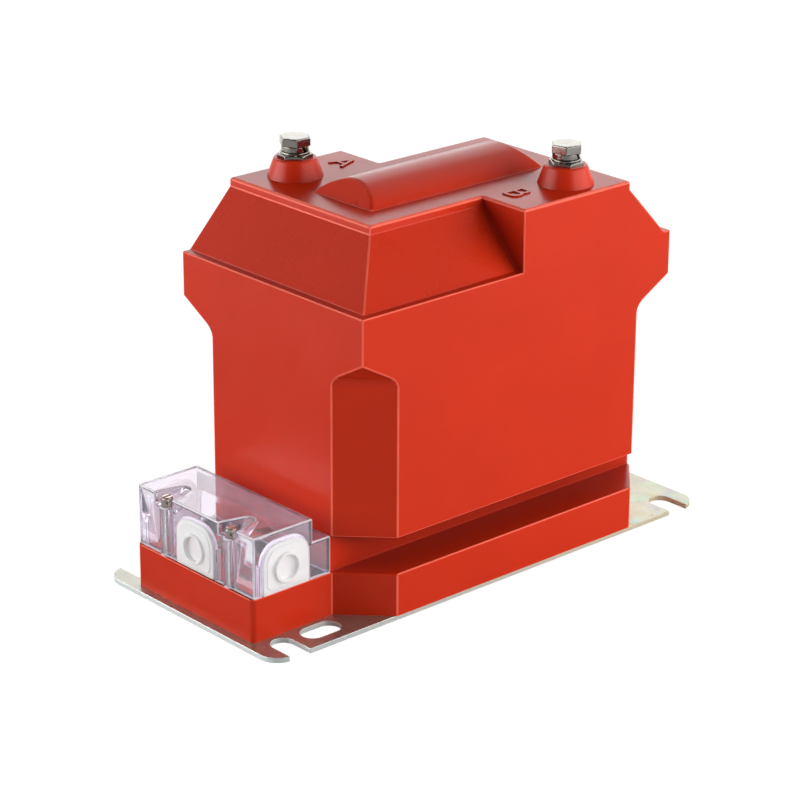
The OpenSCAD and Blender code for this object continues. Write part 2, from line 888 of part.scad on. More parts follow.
module secondary_bush_1() {
    secondary_bush(0);
}

module secondary_bush_2() {
    secondary_bush(1);
}

module secondary_bush_3() {
    secondary_bush(2);
}

module secondary_bush_4() {
    secondary_bush(3);
}

module secondary_screw_1() {
    secondary_screw(0);
}

module secondary_screw_2() {
    secondary_screw(1);
}

module secondary_screw_3() {
    secondary_screw(2);
}

module secondary_screw_4() {
    secondary_screw(3);
}

// Wound core: a round-cornered frame of steel strip whose upper limb carries the windings
module core_shape() {
    along_y(-core_d / 2, core_d / 2) difference() {
        polygon(round_rect(-core_x, core_x, core_z0, core_z1, core_r));
        polygon(round_rect(-window_x, window_x, core_z0 + limb_t, core_z1 - limb_t, window_r));
    }
}

module iron_core() {
    color(core_grey) translate([body_x, 0, 0]) core_shape();
}

// A sleeve round the upper limb, from radius r0 to r1 and x long on both sides
module coil_shape(r0, r1, x) {
    translate([0, 0, coil_z]) rotate([0, 90, 0]) rotate_extrude()
        polygon([[r0, -x], [r1, -x], [r1, x], [r0, x]]);
}

module primary_coil_shape() {
    translate([0, 0, coil_z]) rotate([0, 90, 0]) rotate_extrude()
        polygon([[prim_r0, -prim_x0], [prim_r1, -prim_x0], [prim_r1, -prim_x1], [prim_r2, -prim_x1],
            [prim_r2, prim_x1], [prim_r1, prim_x1], [prim_r1, prim_x0], [prim_r0, prim_x0]]);
}

module winding_former() {
    color(paper) translate([body_x, 0, 0]) coil_shape(former_r, sec_r0, tube_x);
}

module secondary_winding() {
    color(copper) translate([body_x, 0, 0]) coil_shape(sec_r0, barrier_r0, sec_end_x);
}

module insulation_barrier() {
    color(paper) translate([body_x, 0, 0]) coil_shape(barrier_r0, prim_r0, tube_x);
}

module primary_winding() {
    color(copper) translate([body_x, 0, 0]) primary_coil_shape();
}

// A wire along straight runs between points; each run reaches a little past its corners
module wire(points, d) {
    last = len(points) - 2;
    lap = 0.4 * d;
    for (i = [0:last]) {
        run = points[i + 1] - points[i];
        l = norm(run);
        a = i == 0 ? 0 : lap;
        b = i == last ? 0 : lap;
        if (l > 0.01) translate(points[i]) rotate([0, acos(run[2] / l), atan2(run[1], run[0])])
            translate([0, 0, -a]) cylinder(d = d, h = l + a + b, $fn = 16);
    }
}

// Primary lead, drawn at terminal A: from the bush down and in to the outer layers
module primary_lead_path() {
    dy = lead_y - term_y;
    dx = term_x - prim_x1;
    wire([[0, 0, bush_z0], [0, 0, lead_z], [0, dy, lead_z], [dx, dy, lead_z]], lead_d);
}

module primary_lead_a() {
    color(copper) at_a() primary_lead_path();
}

module primary_lead_b() {
    color(copper) at_b() rotate([0, 0, 180]) primary_lead_path();
}

// Secondary leads: round the outside of the core and along the foot to the bushes
module wire_path(i) {
    side = i < 2 ? -1 : 1;
    inner = i == 1 || i == 2;
    y = side * wire_y;
    ty = row_y(i);
    z = coil_z + (inner ? wire_dz : -wire_dz);
    x = -core_x - wire_end - (inner ? wire_apart : 0);
    turn_z = wire_low_z + (inner ? 2 * wire_apart : 0);
    wire([[-sec_end_x, y, z], [x, y, z], [x, y, turn_z], [x, ty, turn_z], [x, ty, wire_low_z],
        [sec_row_x, ty, wire_low_z], [sec_row_x, ty, sec_bush_z0]], wire_d);
}

module secondary_leads() {
    color(copper) translate([body_x, 0, 0]) for (i = [0:sec_count - 1]) wire_path(i);
}

cast_resin_body();
base_plate();
plate_screws();
plate_bushes();
primary_bush_a();
primary_bush_b();
plain_washer_a();
plain_washer_b();
spring_washer_a();
spring_washer_b();
primary_bolt_a();
primary_bolt_b();
terminal_cover();
cover_screw_left();
cover_screw_right();
cover_bush_left();
cover_bush_right();
cable_entry_front();
cable_entry_left();
cable_entry_right();
secondary_bush_1();
secondary_bush_2();
secondary_bush_3();
secondary_bush_4();
secondary_screw_1();
secondary_screw_2();
secondary_screw_3();
secondary_screw_4();
secondary_washers();
iron_core();
winding_former();
secondary_winding();
insulation_barrier();
primary_winding();
primary_lead_a();
primary_lead_b();
secondary_leads();
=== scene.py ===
"""Indoor voltage transformer: finishes, fine forms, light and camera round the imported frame."""
from math import asin, atan2, cos, degrees, pi, radians, sin, sqrt, tan
from types import SimpleNamespace

import bmesh
import bpy
from mathutils import Matrix, Vector


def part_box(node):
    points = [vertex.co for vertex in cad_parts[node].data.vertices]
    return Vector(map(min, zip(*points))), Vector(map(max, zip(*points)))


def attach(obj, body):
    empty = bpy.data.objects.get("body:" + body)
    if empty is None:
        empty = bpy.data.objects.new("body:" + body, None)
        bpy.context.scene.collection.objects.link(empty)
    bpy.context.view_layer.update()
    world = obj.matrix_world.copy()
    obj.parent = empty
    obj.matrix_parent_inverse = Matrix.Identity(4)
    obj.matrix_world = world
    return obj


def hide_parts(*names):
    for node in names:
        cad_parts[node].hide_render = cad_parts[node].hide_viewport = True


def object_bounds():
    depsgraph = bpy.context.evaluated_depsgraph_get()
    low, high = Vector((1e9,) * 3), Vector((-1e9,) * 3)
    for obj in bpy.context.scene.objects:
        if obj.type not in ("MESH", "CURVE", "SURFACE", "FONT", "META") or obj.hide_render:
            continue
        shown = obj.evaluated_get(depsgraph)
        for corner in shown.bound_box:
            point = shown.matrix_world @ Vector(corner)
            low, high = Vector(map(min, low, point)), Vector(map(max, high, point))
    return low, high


bl_info = {
    "name": "Indoor voltage transformer",
    "version": (1, 0, 0),
    "blender": (4, 5, 0),
    "location": "3D View > Sidebar > Transformer",
    "description": "Finishes, fine forms, light and camera for a resin-cast indoor voltage transformer",
    "category": "Object",
}

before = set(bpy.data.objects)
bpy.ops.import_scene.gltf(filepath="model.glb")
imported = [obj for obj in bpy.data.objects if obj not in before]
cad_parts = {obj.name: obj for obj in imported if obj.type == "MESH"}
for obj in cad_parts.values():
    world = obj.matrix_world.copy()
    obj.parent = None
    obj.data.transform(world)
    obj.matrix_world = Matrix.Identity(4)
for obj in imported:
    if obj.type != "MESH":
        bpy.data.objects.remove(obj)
CAD_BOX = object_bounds()

MM = 0.001
BODY = "root"
# Points closer than this are one point of a CAD mesh, and points closer than the next are one
# point after a rounding
WELD = 1e-6
FOLD = 10 * WELD
# Faces that meet flatter than this are one flat face, facets flatter than the next are one round
# surface, and flatter than the last they are shaded as one
FLAT = radians(0.05)
SMOOTH = radians(28)
SHARP = radians(50)
# A tool reaches this far past the face it cuts; a point this near to a level lies on it
PAST = 1 * MM
NEAR = PAST / 2
# A hair's breadth, by which the crossing bars of a mark differ in height, so that no two share a face
HAIR = 0.01 * MM
# Each mark's foot and top, left and right, in mm from the middle of the top face
MARKS = {"A": ((-22.6, 59.5), (-9.3, 48.8)), "B": ((11.5, -47.1), (24.6, -55.5))}
# A lamp's mirror image hangs this far in front of its light: of two lamps in one plane a ray meets one
GLARE_AHEAD = 2 * MM
# Each lamp's width, height and place, and how bright its mirror image is beside its light
LAMPS = {"key": (2.2, 0.9, (0.75, -1.3, 0.6), 0.45),
         "fill": (1.5, 0.8, (-1.3, 0.75, 0.41), 1.0),
         "back": (2.4, 1.2, (1.05, 1.17, 0.75), 1.0)}
# Half the floor's width, and how far it lies below the object, so that the two share no face
FLOOR_HALF = 3.0
FLOOR_DROP = 0.1 * MM
WHITE = (1.0, 1.0, 1.0, 1.0)


def srgb(code):
    """Linear RGBA of an sRGB hex colour."""
    shares = [int(code[i:i + 2], 16) / 255 for i in (1, 3, 5)]
    return (*[s / 12.92 if s <= 0.04045 else ((s + 0.055) / 1.055) ** 2.4 for s in shares], 1.0)


def length(name, mm, about):
    """A length property, its default given in millimetres."""
    return bpy.props.FloatProperty(name=name, description=about, default=mm * MM, min=0.0,
                                   precision=5, subtype="DISTANCE", unit="LENGTH")


def angle(name, turn, about):
    """An angle property, its default given in degrees."""
    return bpy.props.FloatProperty(name=name, description=about, default=radians(turn),
                                   subtype="ANGLE", unit="ROTATION")


def colour(name, code, about):
    """A colour property, its default given in sRGB hex."""
    return bpy.props.FloatVectorProperty(name=name, description=about, default=srgb(code), size=4,
                                         min=0.0, max=1.0, subtype="COLOR")


def lamp_power(name, watts, about):
    """A lamp's power as a property."""
    return bpy.props.FloatProperty(name=name, description=about, default=watts, min=0.0, unit="POWER")


def fraction(name, part, about):
    """A property from 0 to 1."""
    return bpy.props.FloatProperty(name=name, description=about, default=part, min=0.0, max=1.0,
                                   subtype="FACTOR")


class CastingSizes(bpy.types.PropertyGroup):
    """Sizes of the resin casting that the frame's boxes don't give."""

    block_l: length("Terminal block", 55, "How far the terminal block stands out of the casting")
    block_r: length("Block corners", 3, "Radius of the block's two front corners")
    corner: length("Corner bevel", 25, "How far each upright corner is cut back along both sides")
    foot_h: length("Foot height", 25, "Height of the foot on the plate")
    groove_h: length("Groove height", 21, "Height of the side grooves above the foot")
    groove_in: length("Groove notch", 1.5, "How far the grooves reach in past the bevelled corners")
    waist_h: length("Waist height", 90, "Height of the straight bevelled corners above the grooves")
    bevel_h: length("Bevel run-out", 14, "Height over which the corner bevels run out")
    bevel_r: length("Run-out roots", 4, "Radius between a corner bevel and its run-out")
    collar_h: length("Collar height", 25.5, "Height of the square collar")
    ledge_w: length("Ledge", 5, "Width of the ledge round the collar's top")
    slope_h: length("Shoulder height", 30.5, "Height of the sloping shoulders")
    slope_x: length("End shoulder", 29, "How far the end shoulders slope in")
    slope_y: length("Side shoulder", 28, "How far the side shoulders slope in")
    lip_h: length("Lip height", 5, "Height of the upright lip round the top face")
    ridge_h: length("Ridge height", 11, "Height of the arched ridge between the terminals")
    ridge_end: length("Ridge end", 17, "Top face left free at each end of the ridge")
    ridge_side: length("Ridge side", 18, "Top face left free beside the ridge")
    ridge_lean: angle("Ridge lean", 41, "Lean of the ridge's end faces from upright")
    ridge_r: length("Ridge edges", 1.6, "Radius between the ridge's arch and its ends")
    boss_d: length("Boss foot", 31.5, "Diameter of a terminal boss at its foot")
    boss_top_d: length("Boss top", 24.5, "Diameter of a terminal boss at its top")
    boss_r: length("Boss edge", 1.5, "Radius on a boss's upper edge")
    edge_r: length("Outer edges", 0.7, "Radius on the casting's outer edges")
    root_r: length("Inner edges", 0.5, "Radius in the casting's inner edges")
    mark_w: length("Mark strokes", 1.7, "Width of the raised terminal marks' strokes")
    mark_h: length("Mark height", 0.75, "How far the terminal marks stand out of the top face")


class FineSizes(bpy.types.PropertyGroup):
    """Sizes of the fine forms on the metal and plastic pieces."""

    steel_edge: length("Steel edges", 0.4, "Break on the edges of bolts, washers and bushes")
    plate_edge: length("Plate edges", 0.35, "Rounding left by the punch on the plate's edges")
    plastic_edge: length("Cover edges", 0.8, "Radius on the clear cover's outer edges")
    entry_edge: length("Entry edges", 0.3, "Radius on the cable entries' edges")
    entry_proud: length("Entry face", 0.5, "How far an entry's face stands out of the cover's wall")
    ring_h: length("Ring height", 2.6, "How far an entry's ring stands out of the cover's wall")
    ring_r: length("Ring radius", 7.8, "Middle radius of an entry's ring")
    ring_up: length("Ring centre", 13.2, "Height of the ring's centre above the block")
    panel_h: length("Panel height", 0.45, "Height of the raised panel round an entry's ring")
    panel_in: length("Panel inset", 3.6, "How far the panel stays inside the entry's flange")
    panel_r: length("Panel corners", 8.5, "Radius of the panel's upper corners")
    panel_foot_r: length("Panel foot corners", 3, "Radius of the panel's lower corners")
    panel_up: length("Panel foot", 2.5, "How far the panel stays above the flange's foot")
    seal_head: length("Seal screw head", 5.5, "Height of a cover screw's head")
    rim_h: length("Cover rim", 0.8, "Height of the cover's bottom rim that gathers light")
    thread_core: length("Thread core", 1.6, "Radius of the cover screws' shank inside the thread")
    thread_pitch: length("Thread pitch", 0.7, "Pitch of the cover screws' thread")
    thread_depth: length("Thread depth", 0.35, "Depth of the cover screws' thread")
    thread_ends: length("Thread ends", 3, "Length of a cover screw's shank without thread")
    thread_up: length("Thread start", 1, "Height of the thread's first turn above the screw's tip")
    wire_low: length("Secondary wire", 2.5, "Diameter of the wire of the secondary winding")
    wire_high: length("Primary wire", 1.0, "Diameter of the wire shown on the primary winding")
    wind_step: length("Winding step", 4, "How much shorter the primary winding's outer layers are")
    core_edge: length("Core edges", 0.5, "Break on the edges of the core's strip")


class FinishColours(bpy.types.PropertyGroup):
    """Colours of the finishes."""

    resin: colour("Resin", "#CF3012", "Pigmented epoxy resin")
    # The resin edges' colour is a painted highlight on the casting's outer roundings
    resin_edge_highlight: colour("Resin edges", "#FA6850", "Resin on the casting's outer edges, lighter as a painted highlight")
    zinc: colour("Zinc", "#B1B2A7", "Zinc plating, where its film is thinnest")
    zinc_film: colour("Zinc film", "#BAB08E", "Yellow tone of the plating's film")
    sheared: colour("Sheared edge", "#E4EDEF", "Bluish zinc on the plate's rough sheared sides")
    sheared_film: colour("Sheared edge film", "#F2E9CC", "Yellow zinc on the plate's sheared sides")
    steel: colour("Stainless steel", "#A7A39C", "Bolts, washers and terminal bushes")
    nickel: colour("Nickel", "#D8D2C8", "Plated cover and terminal screws")
    brass: colour("Brass", "#C9A65C", "Turned bushes")
    clear: colour("Clear plastic", "#F6F2FA", "Polycarbonate cover")
    # Cover edges: a painted glow for the light gathered in the edges
    clear_edge: colour("Cover edges", "#F4F0FC", "Light gathered in the cover's edges")
    white: colour("Milky plastic", "#FBFBFA", "Cable entries")
    copper: colour("Enamelled copper", "#A8562A", "Windings and leads")
    strip: colour("Core strip", "#5C6268", "Edges of the core's steel strip")
    paper: colour("Pressed paper", "#BFA06A", "Insulating tubes")


class StageSettings(bpy.types.PropertyGroup):
    """Light, floor and camera."""

    key_power: lamp_power("Key light", 32.5, "Power of the wide soft box on the right")
    fill_power: lamp_power("Fill light", 19.5, "Power of the soft box on the left")
    back_power: lamp_power("Back light", 7.6, "Power of the soft box behind the object")
    ambient: fraction("Room light", 0.06, "Strength of the even light from the room")
    shadow: fraction("Shadow", 0.3, "How much of the floor's own shading shows")
    bare_floor: fraction("Bare floor", 0.21, "How bright the floor's own shading is in the open")
    lens: bpy.props.FloatProperty(name="Lens", default=129.4, min=1.0, unit="CAMERA",
                                  description="Focal length of the camera")
    azimuth: angle("Azimuth", -42.03, "Where the camera stands, turned from the terminal's side")
    elevation: angle("Elevation", 21.33, "How far the camera looks down")
    roll: angle("Roll", 0.31, "Turn of the camera about its own axis")
    place: bpy.props.FloatVectorProperty(name="Camera", default=(-1.0168, -1.1183, 0.6766), size=3,
                                         subtype="TRANSLATION", unit="LENGTH",
                                         description="Where the camera stands")


def feed(node, inputs):
    """Fills a node's inputs: each gets a value, another node's output, or a node's first output."""
    for key, value in inputs.items():
        if isinstance(value, bpy.types.Node):
            value = value.outputs[0]
        if isinstance(value, bpy.types.NodeSocket):
            node.id_data.links.new(value, node.inputs[key])
        else:
            node.inputs[key].default_value = value


def add(tree, kind, inputs=None, **settings):
    """Adds a node with its settings and links."""
    node = tree.nodes.new(kind)
    for key, value in settings.items():
        setattr(node, key, value)
    feed(node, inputs or {})
    return node


def bare_tree(owner):
    """The emptied shader tree of a material or a world."""
    owner.use_nodes = True
    owner.node_tree.nodes.clear()
    return owner.node_tree


def new_material(name, shader_inputs):
    """A material with an empty tree but for its shader; returns it, its tree and the shader."""
    material = bpy.data.materials.new(name)
    tree = bare_tree(material)
    shader = add(tree, "ShaderNodeBsdfPrincipled", shader_inputs)
    add(tree, "ShaderNodeOutputMaterial", {"Surface": shader})
    return material, tree, shader


def blobs(tree, size, detail=2.0, stretch=(1.0, 1.0, 1.0), rough=0.5):
    """Random heights in object space, in blobs about size metres wide."""
    where = add(tree, "ShaderNodeTexCoord").outputs["Object"]
    scaled = add(tree, "ShaderNodeMapping", {"Vector": where, "Scale": stretch})
    return add(tree, "ShaderNodeTexNoise", {"Vector": scaled, "Scale": 1 / size, "Detail": detail,
                                            "Roughness": rough})


def patches(tree, size, lo=0.0, hi=1.0, start=0.3, full=0.7, **look):
    """Blobs that are lo up to the height start and hi from the height full."""
    return add(tree, "ShaderNodeMapRange", {0: blobs(tree, size, **look), 1: start, 2: full,
                                            3: lo, 4: hi})


def uprightness(tree, most, start, full):
    """most where the surface stands upright, 0 where it lies level; start and full are the upward
    shares of its direction between which it fades."""
    facing = add(tree, "ShaderNodeSeparateXYZ", {0: add(tree, "ShaderNodeTexCoord").outputs["Normal"]})
    level = add(tree, "ShaderNodeMath", {0: facing.outputs["Z"]}, operation="ABSOLUTE")
    return add(tree, "ShaderNodeMapRange", {0: level, 1: start, 2: full, 3: most, 4: 0.0})


def shade(code, factor):
    """A colour made lighter or darker."""
    return (*[min(1.0, c * factor) for c in code[:3]], 1.0)


def mottled(tree, share, tone, dark, light):
    """A tone that runs from dark to light times its own brightness as share goes from 0 to 1."""
    return add(tree, "ShaderNodeMix", {0: share, 6: shade(tone, dark), 7: shade(tone, light)},
               data_type="RGBA").outputs[2]


def cast_epoxy_resin(colours):
    """Pigmented epoxy, filled with quartz flour and cast in a polished mould: an even deep red with
    faint clouds in the pigment, and a gloss whose reflections waver a little. The upright faces are
    duller, because they drag along the mould when the casting leaves it. The deep corners get painted
    shade: where ambient occlusion finds the casting hollow, its red is darkened."""
    material, tree, shader = new_material("Cast epoxy resin", {"IOR": 1.5, "Specular IOR Level": 0.22})
    red = colours.resin
    clouds = mottled(tree, patches(tree, 60 * MM, detail=3), red, 0.96, 1.03)
    # Painted shade: the red darkens in the casting's own hollows, as ambient occlusion finds them
    hollow = add(tree, "ShaderNodeAmbientOcclusion", {"Distance": 30 * MM}, samples=8, only_local=True)
    painted_corner_shade = add(tree, "ShaderNodeMapRange", {0: hollow.outputs["AO"], 1: 0.3, 2: 0.85, 3: 0.65, 4: 0.0})
    tone = add(tree, "ShaderNodeMix", {0: painted_corner_shade, 6: clouds, 7: shade(red, 0.2)}, data_type="RGBA")
    polish = patches(tree, 25 * MM, 0.18, 0.25, detail=3)
    dull = add(tree, "ShaderNodeMath", {0: polish, 1: uprightness(tree, 0.12, 0.5, 0.9)}, operation="ADD")
    # The mould's waviness is 14 mm wide, its tool marks 3 mm
    marks = add(tree, "ShaderNodeMath", {0: blobs(tree, 3 * MM), 1: 0.35, 2: blobs(tree, 14 * MM, 1)},
                operation="MULTIPLY_ADD")
    feed(shader, {"Base Color": tone.outputs[2], "Roughness": dull,
                  "Normal": add(tree, "ShaderNodeBump", {"Height": marks, "Distance": 0.05 * MM})})
    return material


def resin_edge_highlight(colours):
    """Resin on the outer edges: a lighter, softer orange, painted as a highlight for the light that the
    roundings catch.
    """
    material, tree, shader = new_material("Resin edge highlight", {
        "IOR": 1.5, "Roughness": 0.42, "Specular IOR Level": 0.22})
    highlight_patches = patches(tree, 12 * MM, detail=3)
    feed(shader, {"Base Color": mottled(tree, highlight_patches, colours.resin_edge_highlight, 0.9, 1.05)})
    return material


# Stains on the zinc, in the order in which they cover each other: colour, width of the blobs in mm,
# their detail, stretch and roughness, how strong they get, and the heights where they start and end
ZINC_STAINS = (
    ("#A79FB3", 15, 5, (1.3, 1.0, 2.0), 0.6, 0.45, 0.52, 0.64),
    ("#A0C0AE", 28, 5, (1.0, 1.4, 1.7), 0.6, 0.55, 0.52, 0.62),
    ("#77736A", 5, 4, (1.0, 1.0, 1.0), 0.6, 0.4, 0.6, 0.7),
    ("#4A473F", 1.6, 2, (1.0, 1.0, 1.0), 0.5, 0.6, 0.71, 0.76),
)


def zinc_plated_steel(colours):
    """Sheet steel, electroplated with zinc and passivated: a yellow, green and lilac film over dull
    bright metal with dark stains and rolling lines, and rough pale sides where it was sheared."""
    material, tree, shader = new_material("Zinc plated steel", {"Metallic": 0.78})
    where = add(tree, "ShaderNodeSeparateXYZ", {0: add(tree, "ShaderNodeTexCoord").outputs["Object"]})
    # The film is bluish at the end of the plate under the block and yellow at the other
    yellow = add(tree, "ShaderNodeMapRange", {0: where.outputs["X"], 1: -0.12, 2: 0.12, 3: 0.15, 4: 1.0})
    film = patches(tree, 22 * MM, 0.0, 0.9, detail=5, stretch=(1.0, 1.6, 1.0), rough=0.6)
    film = add(tree, "ShaderNodeMath", {0: film, 1: yellow}, operation="MULTIPLY")
    tone = add(tree, "ShaderNodeMix", {0: film, 6: colours.zinc, 7: colours.zinc_film}, data_type="RGBA")
    for code, size, detail, stretch, rough, most, start, full in ZINC_STAINS:
        stain = patches(tree, size * MM, 0.0, most, start, full, detail=detail, stretch=stretch,
                        rough=rough)
        tone = add(tree, "ShaderNodeMix", {0: stain, 6: tone.outputs[2], 7: srgb(code)},
                   data_type="RGBA")
    side = uprightness(tree, 1.0, 0.6, 0.9)
    sheared = add(tree, "ShaderNodeMix", {0: yellow, 6: colours.sheared, 7: colours.sheared_film},
                  data_type="RGBA")
    tone = add(tree, "ShaderNodeMix", {0: side, 6: tone.outputs[2], 7: sheared.outputs[2]},
               data_type="RGBA")
    torn = add(tree, "ShaderNodeMath", {0: side, 1: 0.55}, operation="MULTIPLY")
    dull = add(tree, "ShaderNodeMath", {0: patches(tree, 9 * MM, 0.24, 0.38, detail=4), 1: torn},
               operation="MAXIMUM")
    lines = blobs(tree, 0.5 * MM, 2, (0.02, 1.0, 1.0))
    feed(shader, {"Base Color": tone.outputs[2], "Roughness": dull,
                  "Normal": add(tree, "ShaderNodeBump", {"Height": lines, "Distance": 0.008 * MM})})
    return material


def plain_metal(name, tone, rough, grain, depth):
    """Turned or pressed metal: an even tone with slight stains, its shine broken by tool marks."""
    material, tree, shader = new_material(name, {"Metallic": 1.0})
    stains = patches(tree, 4 * MM, detail=3)
    feed(shader, {"Base Color": mottled(tree, stains, tone, 0.88, 1.04),
                  "Roughness": patches(tree, 1.5 * MM, rough - 0.06, rough + 0.08, detail=3),
                  "Normal": add(tree, "ShaderNodeBump", {"Height": blobs(tree, grain), "Distance": depth})})
    return material


def stainless_steel(colours):
    """Cold-headed stainless steel: bright and slightly warm, with shallow press marks."""
    return plain_metal("Stainless steel", colours.steel, 0.17, 0.8 * MM, 0.02 * MM)


def nickel_plated_brass(colours):
    """Turned brass under bright nickel: warm silver with a tight shine."""
    return plain_metal("Nickel plated brass", colours.nickel, 0.16, 0.5 * MM, 0.01 * MM)


def turned_brass(colours):
    """Free-cutting brass straight from the lathe: yellow, with fine turning marks."""
    return plain_metal("Turned brass", colours.brass, 0.22, 0.4 * MM, 0.015 * MM)


def clear_polycarbonate(colours):
    """Moulded polycarbonate, polished: clear, with a lilac cast where the light runs far in it."""
    material, tree, shader = new_material("Clear polycarbonate", {
        "Base Color": colours.clear, "Transmission Weight": 0.92, "IOR": 1.585})
    waves = add(tree, "ShaderNodeBump", {"Height": blobs(tree, 9 * MM), "Distance": 0.03 * MM})
    feed(shader, {"Roughness": patches(tree, 12 * MM, 0.0, 0.03), "Normal": waves})
    # Lamps shine through the walls, so what is inside is lit
    lamps = add(tree, "ShaderNodeLightPath").outputs["Is Shadow Ray"]
    through = add(tree, "ShaderNodeBsdfTransparent", {"Color": shade(colours.clear, 0.94)})
    output = next(node for node in tree.nodes if node.type == "OUTPUT_MATERIAL")
    feed(output, {"Surface": add(tree, "ShaderNodeMixShader", {0: lamps, 1: shader, 2: through})})
    return material


def polycarbonate_edge(colours):
    """The cover's rounded edges, which gather the light of the whole wall: a painted glow, pale lilac and
    half clear.
    """
    material, tree, shader = new_material("Polycarbonate edge", {
        "Transmission Weight": 0.25, "IOR": 1.585, "Roughness": 0.22})
    painted_glints = patches(tree, 7 * MM)
    feed(shader, {"Base Color": mottled(tree, painted_glints, colours.clear_edge, 0.85, 1.1)})
    return material


def milky_polyethylene(colours):
    """Moulded polyethylene without pigment: milky white, soft light inside, a waxy shine."""
    material, tree, shader = new_material("Milky polyethylene", {
        "IOR": 1.51, "Subsurface Weight": 0.8, "Subsurface Radius": (1.0, 1.0, 1.0),
        "Subsurface Scale": 3 * MM, "Roughness": 0.38})
    grit = add(tree, "ShaderNodeBump", {"Height": blobs(tree, 1.5 * MM), "Distance": 0.01 * MM})
    flow = patches(tree, 8 * MM)
    feed(shader, {"Base Color": mottled(tree, flow, colours.white, 0.95, 1.0), "Normal": grit})
    return material


def enamelled_copper(colours):
    """Copper wire under clear baked enamel: dark orange metal with a glassy coat."""
    material, tree, shader = new_material("Enamelled copper wire", {
        "Metallic": 1.0, "Roughness": 0.3, "Coat Weight": 0.6, "Coat Roughness": 0.1})
    bake = patches(tree, 6 * MM)
    feed(shader, {"Base Color": mottled(tree, bake, colours.copper, 0.8, 1.1)})
    return material


def silicon_steel_strip(colours):
    """Wound silicon steel strip, bonded: blue-grey, its layers drawn 1 mm apart to show."""
    material, tree, shader = new_material("Silicon steel strip", {"Metallic": 0.9, "Roughness": 0.42})
    layers = blobs(tree, 1 * MM, 1, (1.0, 0.02, 1.0))
    feed(shader, {"Base Color": mottled(tree, layers, colours.strip, 0.7, 1.25),
                  "Normal": add(tree, "ShaderNodeBump", {"Height": layers, "Distance": 0.08 * MM})})
    return material


def pressed_paper(colours):
    """Electrical paper, wound and pressed: matt tan with short fibres along the tube."""
    material, tree, shader = new_material("Pressed insulating paper", {"Roughness": 0.7})
    fibres = blobs(tree, 0.8 * MM, 3, (0.25, 1.0, 1.0))
    feed(shader, {"Base Color": mottled(tree, fibres, colours.paper, 0.8, 1.1),
                  "Normal": add(tree, "ShaderNodeBump", {"Height": fibres, "Distance": 0.04 * MM})})
    return material


MAKERS = {
    "epoxy_resin": cast_epoxy_resin, "zinc_plated_steel": zinc_plated_steel,
    "stainless_steel": stainless_steel, "nickel_plated_brass": nickel_plated_brass,
    "brass": turned_brass, "clear_plastic": clear_polycarbonate, "white_plastic": milky_polyethylene,
    "copper_winding": enamelled_copper, "core_steel": silicon_steel_strip,
    "insulating_tube": pressed_paper,
}
finishes = {}


def finish(slot):
    """The material of a slot of the record, made once."""
    if slot not in finishes:
        finishes[slot] = MAKERS[slot](bpy.context.scene.transformer_colours)
    return finishes[slot]


def own(piece, slot, *nodes):
    """Gives a finished piece its material and its body, and lets it stand for its CAD nodes."""
    if not piece.data.materials:
        piece.data.materials.append(finish(slot))
    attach(piece, BODY)
    if nodes:
        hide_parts(*nodes)


def new_piece(name, mesh):
    """An object of a finished bmesh."""
    data = bpy.data.meshes.new(name)
    mesh.to_mesh(data)
    mesh.free()
    piece = bpy.data.objects.new(name, data)
    bpy.context.scene.collection.objects.link(piece)
    return piece


def drop(piece):
    """Removes a helper object with its mesh."""
    data = piece.data
    bpy.data.objects.remove(piece)
    bpy.data.meshes.remove(data)


def settle(piece):
    """Turns a piece with live modifiers into a plain mesh."""
    shown = piece.evaluated_get(bpy.context.evaluated_depsgraph_get())
    data = bpy.data.meshes.new_from_object(shown)
    old = piece.data
    piece.modifiers.clear()
    piece.data = data
    data.name = piece.name
    bpy.data.meshes.remove(old)
    return piece


def combine(piece, tools, operation):
    """Cuts tools out of a piece, or joins them on, and removes them."""
    for tool in tools:
        change = piece.modifiers.new("shape", "BOOLEAN")
        change.operation = operation
        change.solver = "EXACT"
        change.object = tool
    settle(piece)
    for tool in tools:
        drop(tool)
    return piece


def arc(u, v, r, start, end, steps=8):
    """Points of an arc, angles in degrees, both ends included."""
    turns = [radians(start + (end - start) * i / steps) for i in range(steps + 1)]
    return [(u + r * cos(t), v + r * sin(t)) for t in turns]


def prism(outline, axis, lo, hi, turn=0.0, at=(0.0, 0.0, 0.0)):
    """A closed outline drawn across an axis and drawn out along it, then turned and moved."""
    place = {"x": lambda w, u, v: (w, u, v), "y": lambda w, u, v: (u, w, v),
             "z": lambda w, u, v: (u, v, w)}[axis]
    mesh = bmesh.new()
    ends = [[mesh.verts.new(place(w, u, v)) for u, v in outline] for w in (lo, hi)]
    mesh.faces.new(ends[0])
    mesh.faces.new(ends[1])
    for i in range(len(outline)):
        mesh.faces.new((ends[0][i - 1], ends[0][i], ends[1][i], ends[1][i - 1]))
    bmesh.ops.transform(mesh, matrix=Matrix.Translation(at) @ Matrix.Rotation(turn, 4, "Z"),
                        verts=mesh.verts)
    bmesh.ops.recalc_face_normals(mesh, faces=mesh.faces)
    return new_piece("prism", mesh)


def lathe(profile, at, steps=96, axis="z"):
    """A solid turned about an axis through a point; its profile starts and ends on the axis, or
    closes on itself."""
    mesh = bmesh.new()
    rings = []
    for r, h in profile:
        if r == 0:
            rings.append([mesh.verts.new((0, 0, h))])
        else:
            rings.append([mesh.verts.new((r * cos(2 * pi * i / steps), r * sin(2 * pi * i / steps), h))
                          for i in range(steps)])
    for a, b in zip(rings, rings[1:]):
        for i in range(steps):
            corners = [a[(i - 1) % len(a)], a[i % len(a)], b[i % len(b)], b[(i - 1) % len(b)]]
            mesh.faces.new(list(dict.fromkeys(corners)))
    turn = Matrix.Rotation(pi / 2, 4, "Y") if axis == "x" else Matrix.Identity(4)
    bmesh.ops.transform(mesh, matrix=Matrix.Translation(at) @ turn, verts=mesh.verts)
    bmesh.ops.recalc_face_normals(mesh, faces=mesh.faces)
    return new_piece("turned", mesh)


